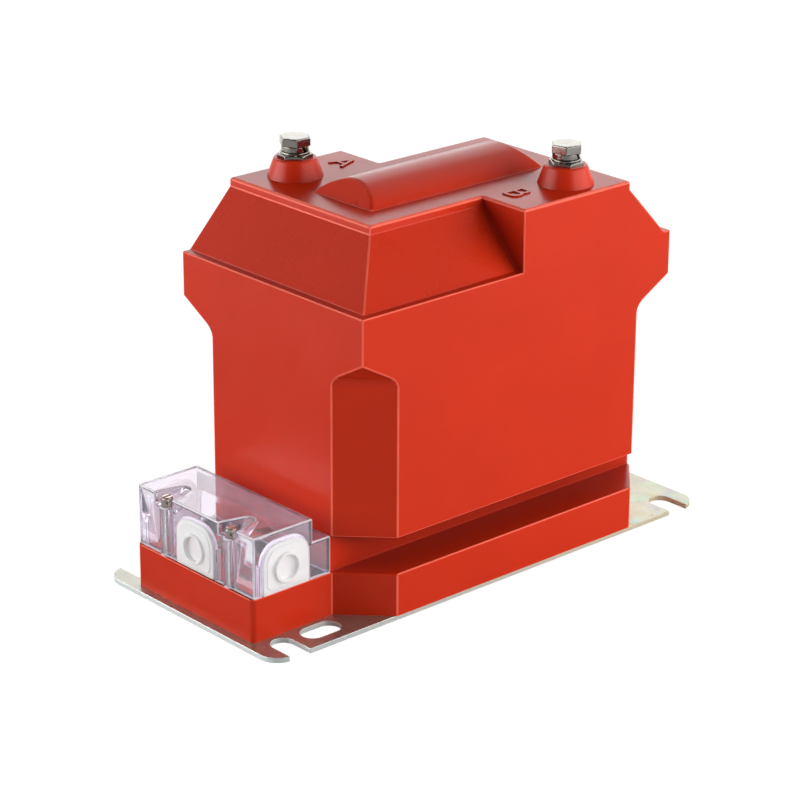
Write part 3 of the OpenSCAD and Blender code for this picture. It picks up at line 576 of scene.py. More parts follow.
def tidy_faces(mesh):
    """Welds a mesh and takes out the edges inside its flat faces."""
    bmesh.ops.remove_doubles(mesh, verts=mesh.verts, dist=WELD)
    bmesh.ops.dissolve_limit(mesh, angle_limit=FLAT, verts=mesh.verts, edges=mesh.edges)


def unfold(mesh):
    """Takes out the points and faces that a rounding or a cut has folded onto each other, in three
    rounds, because one fold can hide another."""
    for _ in range(3):
        bmesh.ops.remove_doubles(mesh, verts=mesh.verts, dist=FOLD)
        bmesh.ops.dissolve_degenerate(mesh, dist=FOLD, edges=mesh.edges)
        flaps = {face for edge in mesh.edges for face in edge.link_faces for other in edge.link_faces
                 if face is not other and len(set(face.verts) & set(other.verts)) > 2
                 and face.normal.dot(other.normal) < -0.9}
        bmesh.ops.delete(mesh, geom=list(flaps), context="FACES")
    bmesh.ops.holes_fill(mesh, edges=[edge for edge in mesh.edges if len(edge.link_faces) == 1])
    bmesh.ops.delete(mesh, geom=[v for v in mesh.verts if not v.link_faces], context="VERTS")


def smooth(piece):
    """Shades a piece as round, but for its sharp edges."""
    piece.data.shade_smooth()
    piece.data.set_sharp_from_angle(angle=SHARP)


def break_edges(piece, width, weigh, segments=3, painted_edge_slot=0, paint=None):
    """Rounds a piece's edges by width times weigh(edge) and settles its shading; painted_edge_slot is
    the place among the piece's materials of the painted highlight that the outer roundings get, and
    paint(mesh) may change which faces have it."""
    mesh = bmesh.new()
    mesh.from_mesh(piece.data)
    tidy_faces(mesh)
    layer = mesh.edges.layers.float.new("bevel_weight_edge")
    for edge in mesh.edges:
        if len(edge.link_faces) == 2 and edge.calc_face_angle() > SMOOTH:
            edge[layer] = weigh(edge)
    mesh.to_mesh(piece.data)
    mesh.free()
    bevel = piece.modifiers.new("edges", "BEVEL")
    bevel.limit_method = "WEIGHT"
    bevel.width = width
    bevel.segments = segments
    bevel.miter_outer = "MITER_ARC"
    bevel.material = painted_edge_slot
    bevel.use_clamp_overlap = False
    settle(piece)
    mesh = bmesh.new()
    mesh.from_mesh(piece.data)
    unfold(mesh)
    # Concave roundings go back to the first material, without the painted highlight
    if painted_edge_slot:
        inner = [face for face in mesh.faces if face.material_index == painted_edge_slot
                 and sum(edge.calc_face_angle_signed(0.0) for edge in face.edges) <= 0.0]
        for face in inner:
            face.material_index = 0
    if paint:
        paint(mesh)
    mesh.to_mesh(piece.data)
    mesh.free()
    smooth(piece)
    shading = piece.modifiers.new("shading", "WEIGHTED_NORMAL")
    shading.keep_sharp = True
    return settle(piece)


def copy_nodes(name, *nodes):
    """A welded copy of CAD nodes as one piece."""
    mesh = bmesh.new()
    for node in nodes:
        mesh.from_mesh(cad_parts[node].data)
    tidy_faces(mesh)
    return new_piece(name, mesh)


def dress(name, slot, width, *nodes):
    """A copy of CAD nodes with broken edges, in its finish, that stands for them."""
    own(break_edges(copy_nodes(name, *nodes), width, lambda edge: 1.0), slot, *nodes)


def middle(node):
    """Centre of a CAD node's box."""
    lo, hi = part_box(node)
    return (lo + hi) / 2


def casting_places(c):
    """Levels and distances of the casting, from the frame's boxes and its own sizes."""
    lo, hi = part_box("cast_resin_body")
    f = SimpleNamespace(front=lo.x, half_w=hi.y, plate=lo.z, boss=hi.z)
    f.half_l = (hi.x - lo.x - c.block_l) / 2
    f.mid = hi.x - f.half_l
    f.waist = f.half_w - c.corner
    f.foot = f.plate + c.foot_h
    f.groove = f.foot + c.groove_h
    f.wall = f.waist - c.groove_in
    f.bevel = f.groove + c.waist_h
    f.collar = f.bevel + c.bevel_h
    f.ledge = f.collar + c.collar_h
    f.lip = f.ledge + c.slope_h
    f.top = f.lip + c.lip_h
    f.top_x = f.half_l - c.ledge_w - c.slope_x
    f.top_y = f.half_w - c.ledge_w - c.slope_y
    f.bosses = [middle("primary_bolt_a"), middle("primary_bolt_b")]
    return f


def casting_cuts(c, f):
    """Tools that take away the bevelled corners, the side grooves and the shoulders."""
    centre = (f.mid, 0.0, 0.0)
    tools = []
    deep = c.corner / sqrt(2)
    corner = [(-PAST, 0.0), (deep, 0.0), (deep, f.bevel), (0.0, f.collar),
              (-PAST, f.collar + PAST * c.bevel_h / deep)]
    for sx in (-1, 1):
        for sy in (-1, 1):
            tools.append(prism(corner, "y", -c.corner, c.corner, atan2(-sy, -sx),
                               (f.mid + sx * f.half_l, sy * f.half_w, 0.0)))
    out = -f.half_w - PAST
    groove = [(out, f.foot), (-f.wall, f.foot), (-f.wall, f.groove), (out, f.groove)]
    end = [(-f.half_l - PAST, f.ledge), (-f.half_l + c.ledge_w, f.ledge), (-f.top_x, f.lip),
           (-f.top_x, f.top + PAST), (-f.half_l - PAST, f.top + PAST)]
    side = [(out, f.ledge), (-f.half_w + c.ledge_w, f.ledge), (-f.top_y, f.lip),
            (-f.top_y, f.top + PAST), (out, f.top + PAST)]
    for turn in (0.0, pi):
        tools.append(prism(groove, "x", -f.half_l - PAST, f.half_l + PAST, turn, centre))
        tools.append(prism(end, "y", out, -out, turn, centre))
        tools.append(prism(side, "x", -f.half_l - PAST, 0.0, turn, centre))
    return tools


def terminal_block(c, f):
    """The block under the cover, with two round front corners."""
    y = f.waist
    r = c.block_r
    outline = [(f.mid - f.half_l + PAST, -y), (f.mid - f.half_l + PAST, y)]
    outline += arc(f.front + r, y - r, r, 90, 180) + arc(f.front + r, r - y, r, 180, 270)
    return prism(outline, "z", f.plate, f.foot)


def boss(c, f, at):
    """Tapered boss under a primary terminal."""
    r0, r1, h = c.boss_d / 2, c.boss_top_d / 2, f.boss - f.top
    slope = degrees(atan2(r0 - r1, h))
    profile = [(0.0, -PAST), (r0, -PAST), (r0, 0.0)]
    profile += arc(r1 - c.boss_r, h - c.boss_r, c.boss_r, slope, 90) + [(0.0, h)]
    return lathe(profile, (at.x, at.y, f.top))


def ridge(c, f):
    """Arched ridge with leaning ends, sunk a little into the top face."""
    half_l, half_w = f.top_x - c.ridge_end, f.top_y - c.ridge_side
    rad = (half_w ** 2 + c.ridge_h ** 2) / (2 * c.ridge_h)
    sunk, rise, lean = 3 * PAST, c.ridge_h + PAST, tan(c.ridge_lean)
    low, long = f.top - sunk, half_l + 2 * sunk
    reach = degrees(asin(half_w / rad))
    arch = arc(0.0, f.top + c.ridge_h - rad, rad, 90 - reach, 90 + reach, 24)
    ends = [(-half_l - sunk * lean, low), (half_l + sunk * lean, low),
            (half_l - rise * lean, f.top + rise), (-half_l + rise * lean, f.top + rise)]
    centre = (f.mid, 0.0, 0.0)
    whole = prism([(half_w, low)] + arch + [(-half_w, low)], "x", -long, long, 0.0, centre)
    return combine(whole, [prism(ends, "y", -half_w - PAST, half_w + PAST, 0.0, centre)], "INTERSECT")


def mark_strokes(letter):
    """Strokes of a letter in a square of side 1, each a list of points."""
    if letter == "A":
        return [[(0.0, 0.0), (0.5, 1.0)], [(1.0, 0.0), (0.5, 1.0)], [(0.2, 0.36), (0.8, 0.36)]]
    upper = arc(0.62, 0.77, 0.23, 90, -90)
    lower = arc(0.7, 0.27, 0.27, 90, -90)
    return [[(0.0, 0.0), (0.0, 1.0)], [(-0.08, 1.0)] + upper + [(0.0, 0.54)],
            [(0.0, 0.54)] + lower + [(-0.08, 0.0)]]


def ribbon(line, half):
    """Outline of a stroke that runs half on both sides of a line of points."""
    line = [Vector(point) for point in line]
    steps = [(b - a).normalized() for a, b in zip(line, line[1:])]
    sides = []
    for before, point, after in zip(steps[:1] + steps, line, steps + steps[-1:]):
        along = (before + after).normalized()
        out = Vector((-along.y, along.x)) * half / along.dot(before)
        sides.append((point + out, point - out))
    return [left for left, _ in sides] + [right for _, right in reversed(sides)]


def mark_bars(letter, corner, opposite, c, top):
    """Flat bars that raise a letter on the face at height top. Its head points along +X and its
    left side along +Y, and it fills the rectangle between its corner at the left foot and the
    opposite one."""
    bars = []
    for i, stroke in enumerate(mark_strokes(letter)):
        line = [(corner[0] + v * (opposite[0] - corner[0]), corner[1] + u * (opposite[1] - corner[1]))
                for u, v in stroke]
        bars.append(prism(ribbon(line, c.mark_w / 2), "z", top - PAST + i * HAIR,
                          top + c.mark_h + i * HAIR))
    return bars


def bush_pocket(node):
    """The space of a cast-in bush below the block's face."""
    lo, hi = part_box(node)
    r, at = (hi.x - lo.x) / 2, (lo + hi) / 2
    return lathe([(0.0, lo.z), (r, lo.z), (r, hi.z + PAST), (0.0, hi.z + PAST)], (at.x, at.y, 0.0), 48)


class TRANSFORMER_OT_cast_body(bpy.types.Operator):
    """Builds the resin casting with rounded edges"""

    bl_idname = "transformer.cast_body"
    bl_label = "Cast body"

    def execute(self, context):
        c = context.scene.transformer_casting
        f = casting_places(c)
        outline = [(f.mid - f.half_l, -f.half_w), (f.mid + f.half_l, -f.half_w),
                   (f.mid + f.half_l, f.half_w), (f.mid - f.half_l, f.half_w)]
        body = prism(outline, "z", f.plate, f.top)
        body.name = "cast_body"
        combine(body, casting_cuts(c, f), "DIFFERENCE")
        combine(body, [terminal_block(c, f), ridge(c, f)] + [boss(c, f, at) for at in f.bosses], "UNION")
        bushes = [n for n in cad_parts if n.startswith(("secondary_bush", "cover_bush"))]
        combine(body, [bush_pocket(n) for n in sorted(bushes)], "DIFFERENCE")
        marks = {letter: [Vector((f.mid, 0.0)) + Vector(corner) * MM for corner in corners]
                 for letter, corners in MARKS.items()}
        for letter, (foot, top) in marks.items():
            combine(body, mark_bars(letter, foot, top, c, f.top), "UNION")
        widest = max(c.edge_r, c.root_r, c.ridge_r, c.bevel_r)

        def weigh(edge):
            """Share of the widest rounding that an edge of the casting gets."""
            ends = [v.co for v in edge.verts]
            # Against the plate the mould leaves a crisp edge
            if all(abs(p.z - f.plate) < NEAR for p in ends):
                return c.root_r / widest / 4
            # The marks stay sharp, and the bosses have their own radius
            for foot, top in marks.values():
                if all(foot.x - 2 * PAST < p.x < top.x + 2 * PAST and abs(p.z - f.top) < PAST
                       and top.y - 2 * PAST < p.y < foot.y + 2 * PAST for p in ends):
                    return 0.0
            if any(all((p - at).xy.length < c.boss_d / 2 + NEAR for p in ends) for at in f.bosses):
                return 0.0
            # The bushes' pockets and the block's top edges under the cover stay sharp too
            if all(p.x < f.mid - f.half_l - PAST and abs(p.y) < f.waist - 3 * PAST for p in ends):
                rim = all(abs(p.z - f.foot) < NEAR and p.x > f.front + 2 * PAST for p in ends)
                if rim or min(p.z for p in ends) < f.foot - PAST:
                    return 0.0
            # The notch behind the bevelled corners is too narrow for a whole rounding
            if all(abs(p.x - f.mid) > f.half_l - NEAR and f.wall - NEAR < abs(p.y) < f.waist + NEAR
                   and f.foot - NEAR < p.z < f.groove + NEAR for p in ends):
                return c.edge_r / widest / 2
            if edge.is_convex and min(p.z for p in ends) > f.top - NEAR:
                return c.ridge_r / widest
            if not edge.is_convex and all(abs(p.z - f.bevel) < NEAR for p in ends):
                return c.bevel_r / widest
            return (c.edge_r if edge.is_convex else c.root_r) / widest

        def keep_unhighlighted(mesh):
            """Keeps the plain resin, without the painted edge highlight, on the ridge, the bosses and the
            foot's bevelled corners.
            """
            bevels = f.half_l + f.half_w - c.corner
            for face in mesh.faces:
                p = face.calc_center_median()
                cut = abs(abs(p.x - f.mid) + abs(p.y) - bevels) < 2 * PAST
                if p.z > f.top + NEAR or cut and abs(p.z - f.foot) < PAST:
                    face.material_index = 0

        body.data.materials.append(finish("epoxy_resin"))
        # The outer roundings get a second material: a painted highlight
        body.data.materials.append(resin_edge_highlight(context.scene.transformer_colours))
        break_edges(body, widest, weigh, 3, 1, keep_unhighlighted)
        own(body, "epoxy_resin", "cast_resin_body")
        return {"FINISHED"}


class TRANSFORMER_OT_base_plate(bpy.types.Operator):
    """Finishes the slotted base plate"""

    bl_idname = "transformer.base_plate"
    bl_label = "Base plate"

    def execute(self, context):
        fine = context.scene.transformer_fine
        dress("plated_base", "zinc_plated_steel", fine.plate_edge, "base_plate")
        return {"FINISHED"}


class TRANSFORMER_OT_plate_screws(bpy.types.Operator):
    """Finishes the countersunk screws under the plate and their bushes"""

    bl_idname = "transformer.plate_screws"
    bl_label = "Plate screws"

    def execute(self, context):
        fine = context.scene.transformer_fine
        dress("countersunk_screws", "zinc_plated_steel", fine.steel_edge / 2, "plate_screws")
        dress("foot_bushes", "brass", fine.steel_edge / 2, "plate_bushes")
        return {"FINISHED"}


class TRANSFORMER_OT_primary_terminals(bpy.types.Operator):
    """Finishes the bushes, washers and bolts of both primary terminals"""

    bl_idname = "transformer.primary_terminals"
    bl_label = "Primary terminals"

    def execute(self, context):
        fine = context.scene.transformer_fine
        for side in ("a", "b"):
            for part in ("primary_bush", "plain_washer", "spring_washer", "primary_bolt"):
                node = f"{part}_{side}"
                dress("bright_" + node, "stainless_steel", fine.steel_edge, node)
        return {"FINISHED"}


def new_node_group(name, **kinds):
    """A geometry node tree with a named input of each kind; returns it and what it is given."""
    tree = bpy.data.node_groups.new(name, "GeometryNodeTree")
    for label, kind in {"Geometry": "Geometry", **kinds, "Material": "Material"}.items():
        tree.interface.new_socket(label, in_out="INPUT", socket_type="NodeSocket" + kind)
    tree.interface.new_socket("Geometry", in_out="OUTPUT", socket_type="NodeSocketGeometry")
    return tree, add(tree, "NodeGroupInput").outputs


def close_node_group(tree, given, shape):
    """Makes a shape's instances real, gives it the material and puts it out."""
    whole = add(tree, "GeometryNodeRealizeInstances", {"Geometry": shape})
    dressed = add(tree, "GeometryNodeSetMaterial", {"Geometry": whole, "Material": given["Material"]})
    add(tree, "NodeGroupOutput", {"Geometry": dressed})


def thread_tree():
    """Geometry nodes: a V-shaped ridge wound along the Z axis as a screw's thread."""
    tree, given = new_node_group("Screw thread", Radius="Float", Pitch="Float", Length="Float",
                                 Depth="Float")
    turns = add(tree, "ShaderNodeMath", {0: given["Length"], 1: given["Pitch"]}, operation="DIVIDE")
    helix = add(tree, "GeometryNodeCurveSpiral", {
        "Resolution": 24, "Rotations": turns, "Start Radius": given["Radius"],
        "End Radius": given["Radius"], "Height": given["Length"]})
    crest = add(tree, "GeometryNodeCurvePrimitiveCircle", {"Resolution": 4, "Radius": given["Depth"]})
    close_node_group(tree, given, add(tree, "GeometryNodeCurveToMesh", {
        "Curve": helix, "Profile Curve": crest, "Fill Caps": True}))
    return tree


def turns_tree():
    """Geometry nodes: rings of wire side by side round the X axis, added to a sleeve."""
    tree, given = new_node_group("Wire turns", Radius="Float", Wire="Float", Count="Int",
                                 Centre="Vector")
    pitch = add(tree, "ShaderNodeCombineXYZ", {"X": given["Wire"]})
    less = add(tree, "ShaderNodeMath", {0: given["Count"], 1: 1.0}, operation="SUBTRACT")
    half = add(tree, "ShaderNodeMath", {0: less, 1: -0.5}, operation="MULTIPLY")
    back = add(tree, "ShaderNodeVectorMath", {0: pitch, "Scale": half}, operation="SCALE")
    start = add(tree, "ShaderNodeVectorMath", {0: given["Centre"], 1: back}, operation="ADD")
    places = add(tree, "GeometryNodeMeshLine", {
        "Count": given["Count"], "Start Location": start, "Offset": pitch})
    ring = add(tree, "GeometryNodeCurvePrimitiveCircle", {"Resolution": 64, "Radius": given["Radius"]})
    section_r = add(tree, "ShaderNodeMath", {0: given["Wire"], 1: 0.5}, operation="MULTIPLY")
    section = add(tree, "GeometryNodeCurvePrimitiveCircle", {"Resolution": 6, "Radius": section_r})
    wire = add(tree, "GeometryNodeCurveToMesh", {"Curve": ring, "Profile Curve": section})
    rings = add(tree, "GeometryNodeInstanceOnPoints", {
        "Points": places, "Instance": wire, "Rotation": (0.0, pi / 2, 0.0)})
    joined = add(tree, "GeometryNodeJoinGeometry")
    feed(joined, {0: given["Geometry"]})
    feed(joined, {0: rings})
    close_node_group(tree, given, joined)
    return tree


def row_tree():
    """Geometry nodes: copies of one piece in a row, each a pitch further along Y."""
    tree, given = new_node_group("Terminal row", Count="Int", Pitch="Float")
    step = add(tree, "ShaderNodeCombineXYZ", {"Y": given["Pitch"]})
    places = add(tree, "GeometryNodeMeshLine", {"Count": given["Count"], "Offset": step})
    close_node_group(tree, given, add(tree, "GeometryNodeInstanceOnPoints", {
        "Points": places, "Instance": given["Geometry"]}))
    return tree


def run_nodes(piece, tree, **values):
    """Runs a geometry node tree on a piece, with named input values, and keeps the plain mesh."""
    change = piece.modifiers.new("nodes", "NODES")
    change.node_group = tree
    for item in tree.interface.items_tree:
        if item.in_out == "INPUT" and item.name in values:
            change[item.identifier] = values[item.name]
    settle(piece)


class TRANSFORMER_OT_terminal_cover(bpy.types.Operator):
    """Finishes the clear cover over the secondary terminals"""

    bl_idname = "transformer.terminal_cover"
    bl_label = "Terminal cover"

    def execute(self, context):
        fine = context.scene.transformer_fine
        cover = copy_nodes("clear_cover", "terminal_cover")
        cover.data.materials.append(finish("clear_plastic"))
        # The second material is the edges' painted glow
        cover.data.materials.append(polycarbonate_edge(context.scene.transformer_colours))
        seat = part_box("terminal_cover")[0].z

        def weigh(edge):
            seated = max(v.co.z for v in edge.verts) < seat + PAST / 2
            return 0.0 if seated or not edge.is_convex else 1.0

        def light_rim(mesh):
            """Gives the bottom rim, which gathers light, the edges' painted glow."""
            height = seat + fine.rim_h
            bmesh.ops.bisect_plane(mesh, geom=mesh.verts[:] + mesh.edges[:] + mesh.faces[:], dist=WELD,
                                   plane_co=(0.0, 0.0, height), plane_no=(0.0, 0.0, 1.0))
            for face in mesh.faces:
                if max(v.co.z for v in face.verts) < height + WELD:
                    face.material_index = 1

        break_edges(cover, fine.plastic_edge, weigh, 2, 1, light_rim)
        own(cover, "clear_plastic", "terminal_cover")
        return {"FINISHED"}


class TRANSFORMER_OT_cover_screws(bpy.types.Operator):
    """Finishes the cover's screws, cuts their thread and finishes their bushes"""

    bl_idname = "transformer.cover_screws"
    bl_label = "Cover screws"

    def execute(self, context):
        fine = context.scene.transformer_fine
        tree = thread_tree()
        for side in ("left", "right"):
            node = "cover_screw_" + side
            lo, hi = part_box(node)
            seat = hi.z - fine.seal_head
            core_r = fine.thread_core
            screw = copy_nodes("seal_screw_" + side, node)
            centre = (lo + hi) / 2
            # The shank's points below the head draw in to the thread's core
            for vert in screw.data.vertices:
                out = (vert.co - centre).xy
                if vert.co.z < seat + HAIR and out.length < (hi.x - lo.x) / 2 - NEAR:
                    out.length = min(out.length, core_r)
                    vert.co.x, vert.co.y = centre.x + out.x, centre.y + out.y
            break_edges(screw, fine.steel_edge, lambda edge: 1.0 if edge.is_convex else 0.0)
            own(screw, "nickel_plated_brass", node)
            thread = new_piece("seal_screw_thread_" + side, bmesh.new())
            run_nodes(thread, tree, Radius=core_r, Pitch=fine.thread_pitch,
                      Length=seat - lo.z - fine.thread_ends, Depth=fine.thread_depth,
                      Material=finish("nickel_plated_brass"))
            thread.data.transform(Matrix.Translation((centre.x, centre.y, lo.z + fine.thread_up)))
            own(thread, "nickel_plated_brass")
            dress("block_bush_" + side, "brass", fine.steel_edge / 2, "cover_bush_" + side)
        return {"FINISHED"}


def entry_panel(fine, node):
    """Raised panel on a cable entry's face, open inside the entry's ring."""
    lo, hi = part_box(node)
    at = (lo + hi) / 2
    if hi.x - lo.x < hi.y - lo.y:
        axis, out, top, half, place = "x", -1, lo.x, (hi.y - lo.y) / 2, (0.0, at.y, lo.z)
    else:
        axis, half, place = "y", (hi.x - lo.x) / 2, (at.x, 0.0, lo.z)
        out, top = (1, hi.y) if at.y > 0 else (-1, lo.y)
    face = top - out * (fine.ring_h - fine.entry_proud)
    w, h = half - fine.panel_in, hi.z - lo.z - fine.panel_in
    r, foot, up = fine.panel_r, fine.panel_foot_r, fine.panel_up + fine.panel_foot_r
    outline = arc(w - foot, up, foot, -90, 0) + arc(w - r, h - r, r, 0, 90)
    outline += arc(r - w, h - r, r, 90, 180) + arc(foot - w, up, foot, 180, 270)
    ends = sorted((face - out * PAST, face + out * fine.panel_h))
    panel = prism(outline, axis, *ends, at=place)
    ring = arc(0.0, fine.ring_up, fine.ring_r, 0, 360, 48)[:-1]
    hole = prism(ring, axis, ends[0] - PAST, ends[1] + PAST, at=place)
    return combine(panel, [hole], "DIFFERENCE")


class TRANSFORMER_OT_cable_entries(bpy.types.Operator):
    """Finishes the three plastic cable entries"""

    bl_idname = "transformer.cable_entries"
    bl_label = "Cable entries"

    def execute(self, context):
        fine = context.scene.transformer_fine
        for side in ("front", "left", "right"):
            node = "cable_entry_" + side
            entry = copy_nodes("milky_entry_" + side, node)
            combine(entry, [entry_panel(fine, node)], "UNION")
            break_edges(entry, fine.entry_edge, lambda edge: 1.0)
            own(entry, "white_plastic", node)
        return {"FINISHED"}


class TRANSFORMER_OT_secondary_terminals(bpy.types.Operator):
    """Sets the secondary screws, washers and bushes in their row"""

    bl_idname = "transformer.secondary_terminals"
    bl_label = "Secondary terminals"

    def execute(self, context):
        fine = context.scene.transformer_fine
        tree = row_tree()
        count = len([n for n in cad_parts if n.startswith("secondary_screw_")])
        pitch = middle("secondary_screw_2").y - middle("secondary_screw_1").y
        for part, slot in (("screw", "nickel_plated_brass"), ("bush", "brass")):
            nodes = [f"secondary_{part}_{i + 1}" for i in range(count)]
            row = break_edges(copy_nodes(f"terminal_{part}_row", nodes[0]), fine.steel_edge,
                              lambda edge: 1.0 if edge.is_convex else 0.0)
            run_nodes(row, tree, Count=count, Pitch=pitch, Material=finish(slot))
            own(row, slot, *nodes)
        dress("terminal_washers", "nickel_plated_brass", fine.steel_edge, "secondary_washers")
        return {"FINISHED"}


class TRANSFORMER_OT_core_and_windings(bpy.types.Operator):
    """Finishes the core, its tubes, the windings and their leads"""

    bl_idname = "transformer.core_and_windings"
    bl_label = "Core and windings"

    def execute(self, context):
        fine = context.scene.transformer_fine
        tree = turns_tree()
        for node, tube, wire, step in (
                ("secondary_winding", "winding_former", fine.wire_low, 0.0),
                ("primary_winding", "insulation_barrier", fine.wire_high, fine.wind_step)):
            bore = (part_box(tube)[1].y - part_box(tube)[0].y) / 2
            lo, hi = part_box(node)
            outer, half = (hi.y - lo.y) / 2 - wire / 2, (hi.x - lo.x) / 2 - step
            sleeve = lathe([(bore, -half), (outer, -half), (outer, half), (bore, half),
                            (bore, -half)], middle(node), 64, "x")
            sleeve.name = "wound_" + node
            run_nodes(sleeve, tree, Radius=outer, Wire=wire, Count=int((2 * half - wire) / wire),
                      Centre=middle(node), Material=finish("copper_winding"))
            smooth(sleeve)
            own(sleeve, "copper_winding", node)
        dress("strip_core", "core_steel", fine.core_edge, "iron_core")
        carried = {"insulating_tube": ("winding_former", "insulation_barrier"),
                   "copper_winding": ("primary_lead_a", "primary_lead_b", "secondary_leads")}
        for slot, nodes in carried.items():
            for node in nodes:
                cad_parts[node].data.materials.clear()
                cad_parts[node].data.materials.append(finish(slot))
        return {"FINISHED"}


def lamp(name, power, aim, wide, high, at, glare):
    """A soft rectangular lamp at a place, turned towards a point. As behind a polarising sheet, its
    mirror image on glossy surfaces may be dimmer than its light: only the share glare of it is left."""
    turn = (Vector(aim) - Vector(at)).to_track_quat("-Z", "Y")
    for part, share, ahead in (("light", 1.0, 0.0), ("glare", glare, GLARE_AHEAD)):
        data = bpy.data.lights.new(f"{name} {part}", "AREA")
        data.shape = "RECTANGLE"
        data.size, data.size_y = wide, high
        data.energy = power * share
        light = bpy.data.objects.new(data.name, data)
        bpy.context.scene.collection.objects.link(light)
        light.location = Vector(at) - turn @ Vector((0.0, 0.0, ahead))
        light.rotation_euler = turn.to_euler()
        light.visible_camera = False
        light.visible_glossy = part == "glare"
        light.visible_diffuse = light.visible_transmission = part == "light"


def seen_white(tree, where, away, near, far):
    """1 for the rays that meet the white background: those from the camera, also through glass, and
    of those mirrored once on their way only the ones that run away from the camera. where is a
    place or a direction, measured along away; from near to far it turns white in mirrors."""
    rays = add(tree, "ShaderNodeLightPath").outputs
    direct = add(tree, "ShaderNodeMath", {0: rays["Is Camera Ray"], 1: rays["Is Transmission Ray"]},
                 operation="MAXIMUM")
    looking = add(tree, "ShaderNodeMath", {0: direct, 1: rays["Is Glossy Ray"]}, operation="MAXIMUM")
    along = add(tree, "ShaderNodeVectorMath", {0: where, 1: away}, operation="DOT_PRODUCT")
    behind = add(tree, "ShaderNodeMapRange", {0: along.outputs["Value"], 1: near, 2: far})
    straight = add(tree, "ShaderNodeMath", {0: rays["Glossy Depth"], 1: 0.5}, operation="LESS_THAN")
    once = add(tree, "ShaderNodeMath", {0: rays["Glossy Depth"], 1: 1.5}, operation="LESS_THAN")
    mirrored = add(tree, "ShaderNodeMath", {0: behind, 1: once}, operation="MULTIPLY")
    white = add(tree, "ShaderNodeMath", {0: mirrored, 1: straight}, operation="MAXIMUM")
    return add(tree, "ShaderNodeMath", {0: looking, 1: white}, operation="MULTIPLY")


def away_from_camera(stage):
    """Level direction in which the camera looks."""
    return (-sin(stage.azimuth), cos(stage.azimuth), 0.0)


def stage_floor(stage):
    """Pale floor that is white to the camera but for the object's shadow."""
    mesh = bmesh.new()
    bmesh.ops.create_grid(mesh, x_segments=4, y_segments=4, size=FLOOR_HALF)
    floor = new_piece("floor", mesh)
    floor.data.transform(Matrix.Translation((0.0, 0.0, CAD_BOX[0].z - FLOOR_DROP)))
    material = bpy.data.materials.new("Pale studio floor")
    tree = bare_tree(material)
    pale = srgb("#C8C8C8")
    where = add(tree, "ShaderNodeTexCoord").outputs["Object"]
    seen = seen_white(tree, where, away_from_camera(stage), 0.15, 0.45)
    matt = add(tree, "ShaderNodeBsdfDiffuse", {"Color": pale})
    faint = add(tree, "ShaderNodeBsdfDiffuse", {"Color": shade(pale, stage.shadow)})
    glow = add(tree, "ShaderNodeEmission", {"Color": WHITE,
                                            "Strength": 1.0 - stage.shadow * stage.bare_floor})
    white = add(tree, "ShaderNodeAddShader", {0: faint, 1: glow})
    mixed = add(tree, "ShaderNodeMixShader", {0: seen, 1: matt, 2: white})
    add(tree, "ShaderNodeOutputMaterial", {"Surface": mixed})
    floor.data.materials.append(material)


def stage_world(stage):
    """Even room: full white where it is seen, softer where it only lights."""
    world = bpy.data.worlds.new("White room")
    tree = bare_tree(world)
    where = add(tree, "ShaderNodeTexCoord").outputs["Generated"]
    seen = seen_white(tree, where, away_from_camera(stage), 0.0, 0.4)
    white = add(tree, "ShaderNodeBackground", {"Color": WHITE, "Strength": 1.0})
    light = add(tree, "ShaderNodeBackground", {"Color": srgb("#F4F7FF"), "Strength": stage.ambient})
    mixed = add(tree, "ShaderNodeMixShader", {0: seen, 1: light, 2: white})
    add(tree, "ShaderNodeOutputWorld", {"Surface": mixed})
    bpy.context.scene.world = world


def stage_camera(stage):
    """Camera at the viewing angle of a product photograph, a little from above."""
    data = bpy.data.cameras.new("camera")
    data.sensor_width = 36.0
    data.sensor_fit = "HORIZONTAL"
    data.lens = stage.lens
    data.clip_end = 20.0
    camera = bpy.data.objects.new("camera", data)
    bpy.context.scene.collection.objects.link(camera)
    a, e, roll = stage.azimuth, stage.elevation, stage.roll
    back = Vector((sin(a) * cos(e), -cos(a) * cos(e), sin(e)))
    right = Vector((cos(a), sin(a), 0.0))
    up = back.cross(right)
    right, up = cos(roll) * right + sin(roll) * up, cos(roll) * up - sin(roll) * right
    turn = Matrix((right, up, back)).transposed().to_4x4()
    camera.matrix_world = Matrix.Translation(stage.place) @ turn
    bpy.context.scene.camera = camera


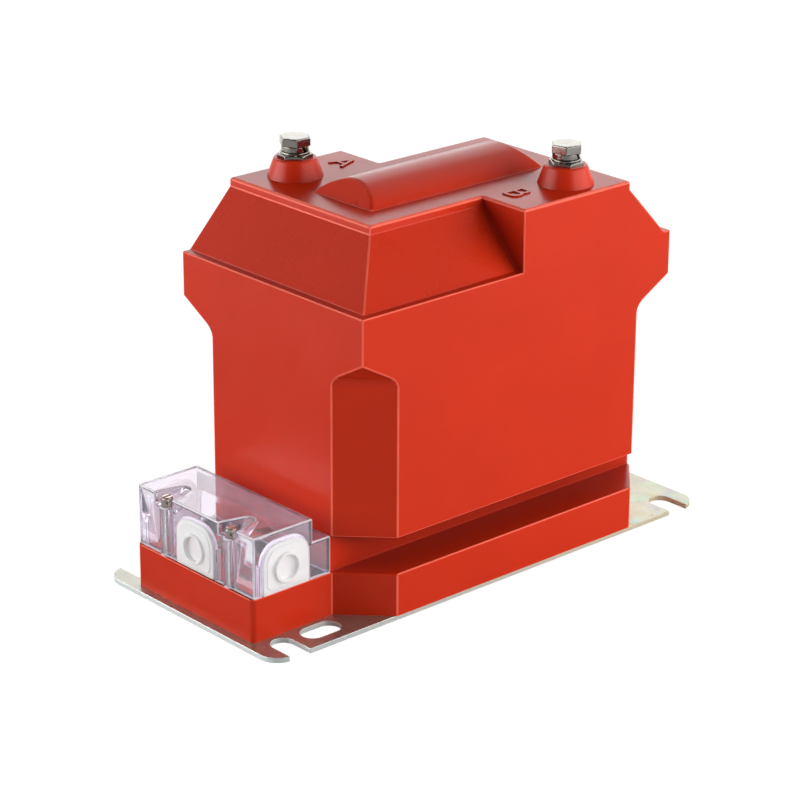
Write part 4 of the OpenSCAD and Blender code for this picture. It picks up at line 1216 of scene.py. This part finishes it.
class TRANSFORMER_OT_stage(bpy.types.Operator):
    """Sets the floor, the white room, the soft lamps and the camera"""

    bl_idname = "transformer.stage"
    bl_label = "Stage"

    def execute(self, context):
        stage = context.scene.transformer_stage
        stage_floor(stage)
        stage_world(stage)
        stage_camera(stage)
        for name, shape in LAMPS.items():
            lamp(name, getattr(stage, name + "_power"), (CAD_BOX[0] + CAD_BOX[1]) / 2, *shape)
        context.scene.view_settings.view_transform = "Standard"
        return {"FINISHED"}


class TRANSFORMER_PT_panel(bpy.types.Panel):
    """Lists the transformer's pieces and sizes"""

    bl_idname = "TRANSFORMER_PT_panel"
    bl_label = "Voltage transformer"
    bl_space_type = "VIEW_3D"
    bl_region_type = "UI"
    bl_category = "Transformer"

    def draw(self, context):
        for operator in OPERATORS:
            self.layout.operator(operator.bl_idname)
        for group in GROUPS:
            settings = getattr(context.scene, group)
            box = self.layout.box()
            for name in settings.__annotations__:
                box.prop(settings, name)


GROUPS = {"transformer_casting": CastingSizes, "transformer_fine": FineSizes,
          "transformer_colours": FinishColours, "transformer_stage": StageSettings}
OPERATORS = (TRANSFORMER_OT_cast_body, TRANSFORMER_OT_base_plate,
             TRANSFORMER_OT_plate_screws, TRANSFORMER_OT_primary_terminals,
             TRANSFORMER_OT_terminal_cover, TRANSFORMER_OT_cover_screws, TRANSFORMER_OT_cable_entries,
             TRANSFORMER_OT_secondary_terminals, TRANSFORMER_OT_core_and_windings,
             TRANSFORMER_OT_stage)


def register():
    for settings in GROUPS.values():
        bpy.utils.register_class(settings)
    for name, settings in GROUPS.items():
        setattr(bpy.types.Scene, name, bpy.props.PointerProperty(type=settings))
    for operator in OPERATORS:
        bpy.utils.register_class(operator)
    bpy.utils.register_class(TRANSFORMER_PT_panel)


def unregister():
    bpy.utils.unregister_class(TRANSFORMER_PT_panel)
    for operator in reversed(OPERATORS):
        bpy.utils.unregister_class(operator)
    for name, settings in GROUPS.items():
        delattr(bpy.types.Scene, name)
        bpy.utils.unregister_class(settings)


def main():
    """Registers the add-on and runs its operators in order."""
    register()
    for operator in OPERATORS:
        group, name = operator.bl_idname.split(".")
        getattr(getattr(bpy.ops, group), name)()


if __name__ == "__main__":
    main()
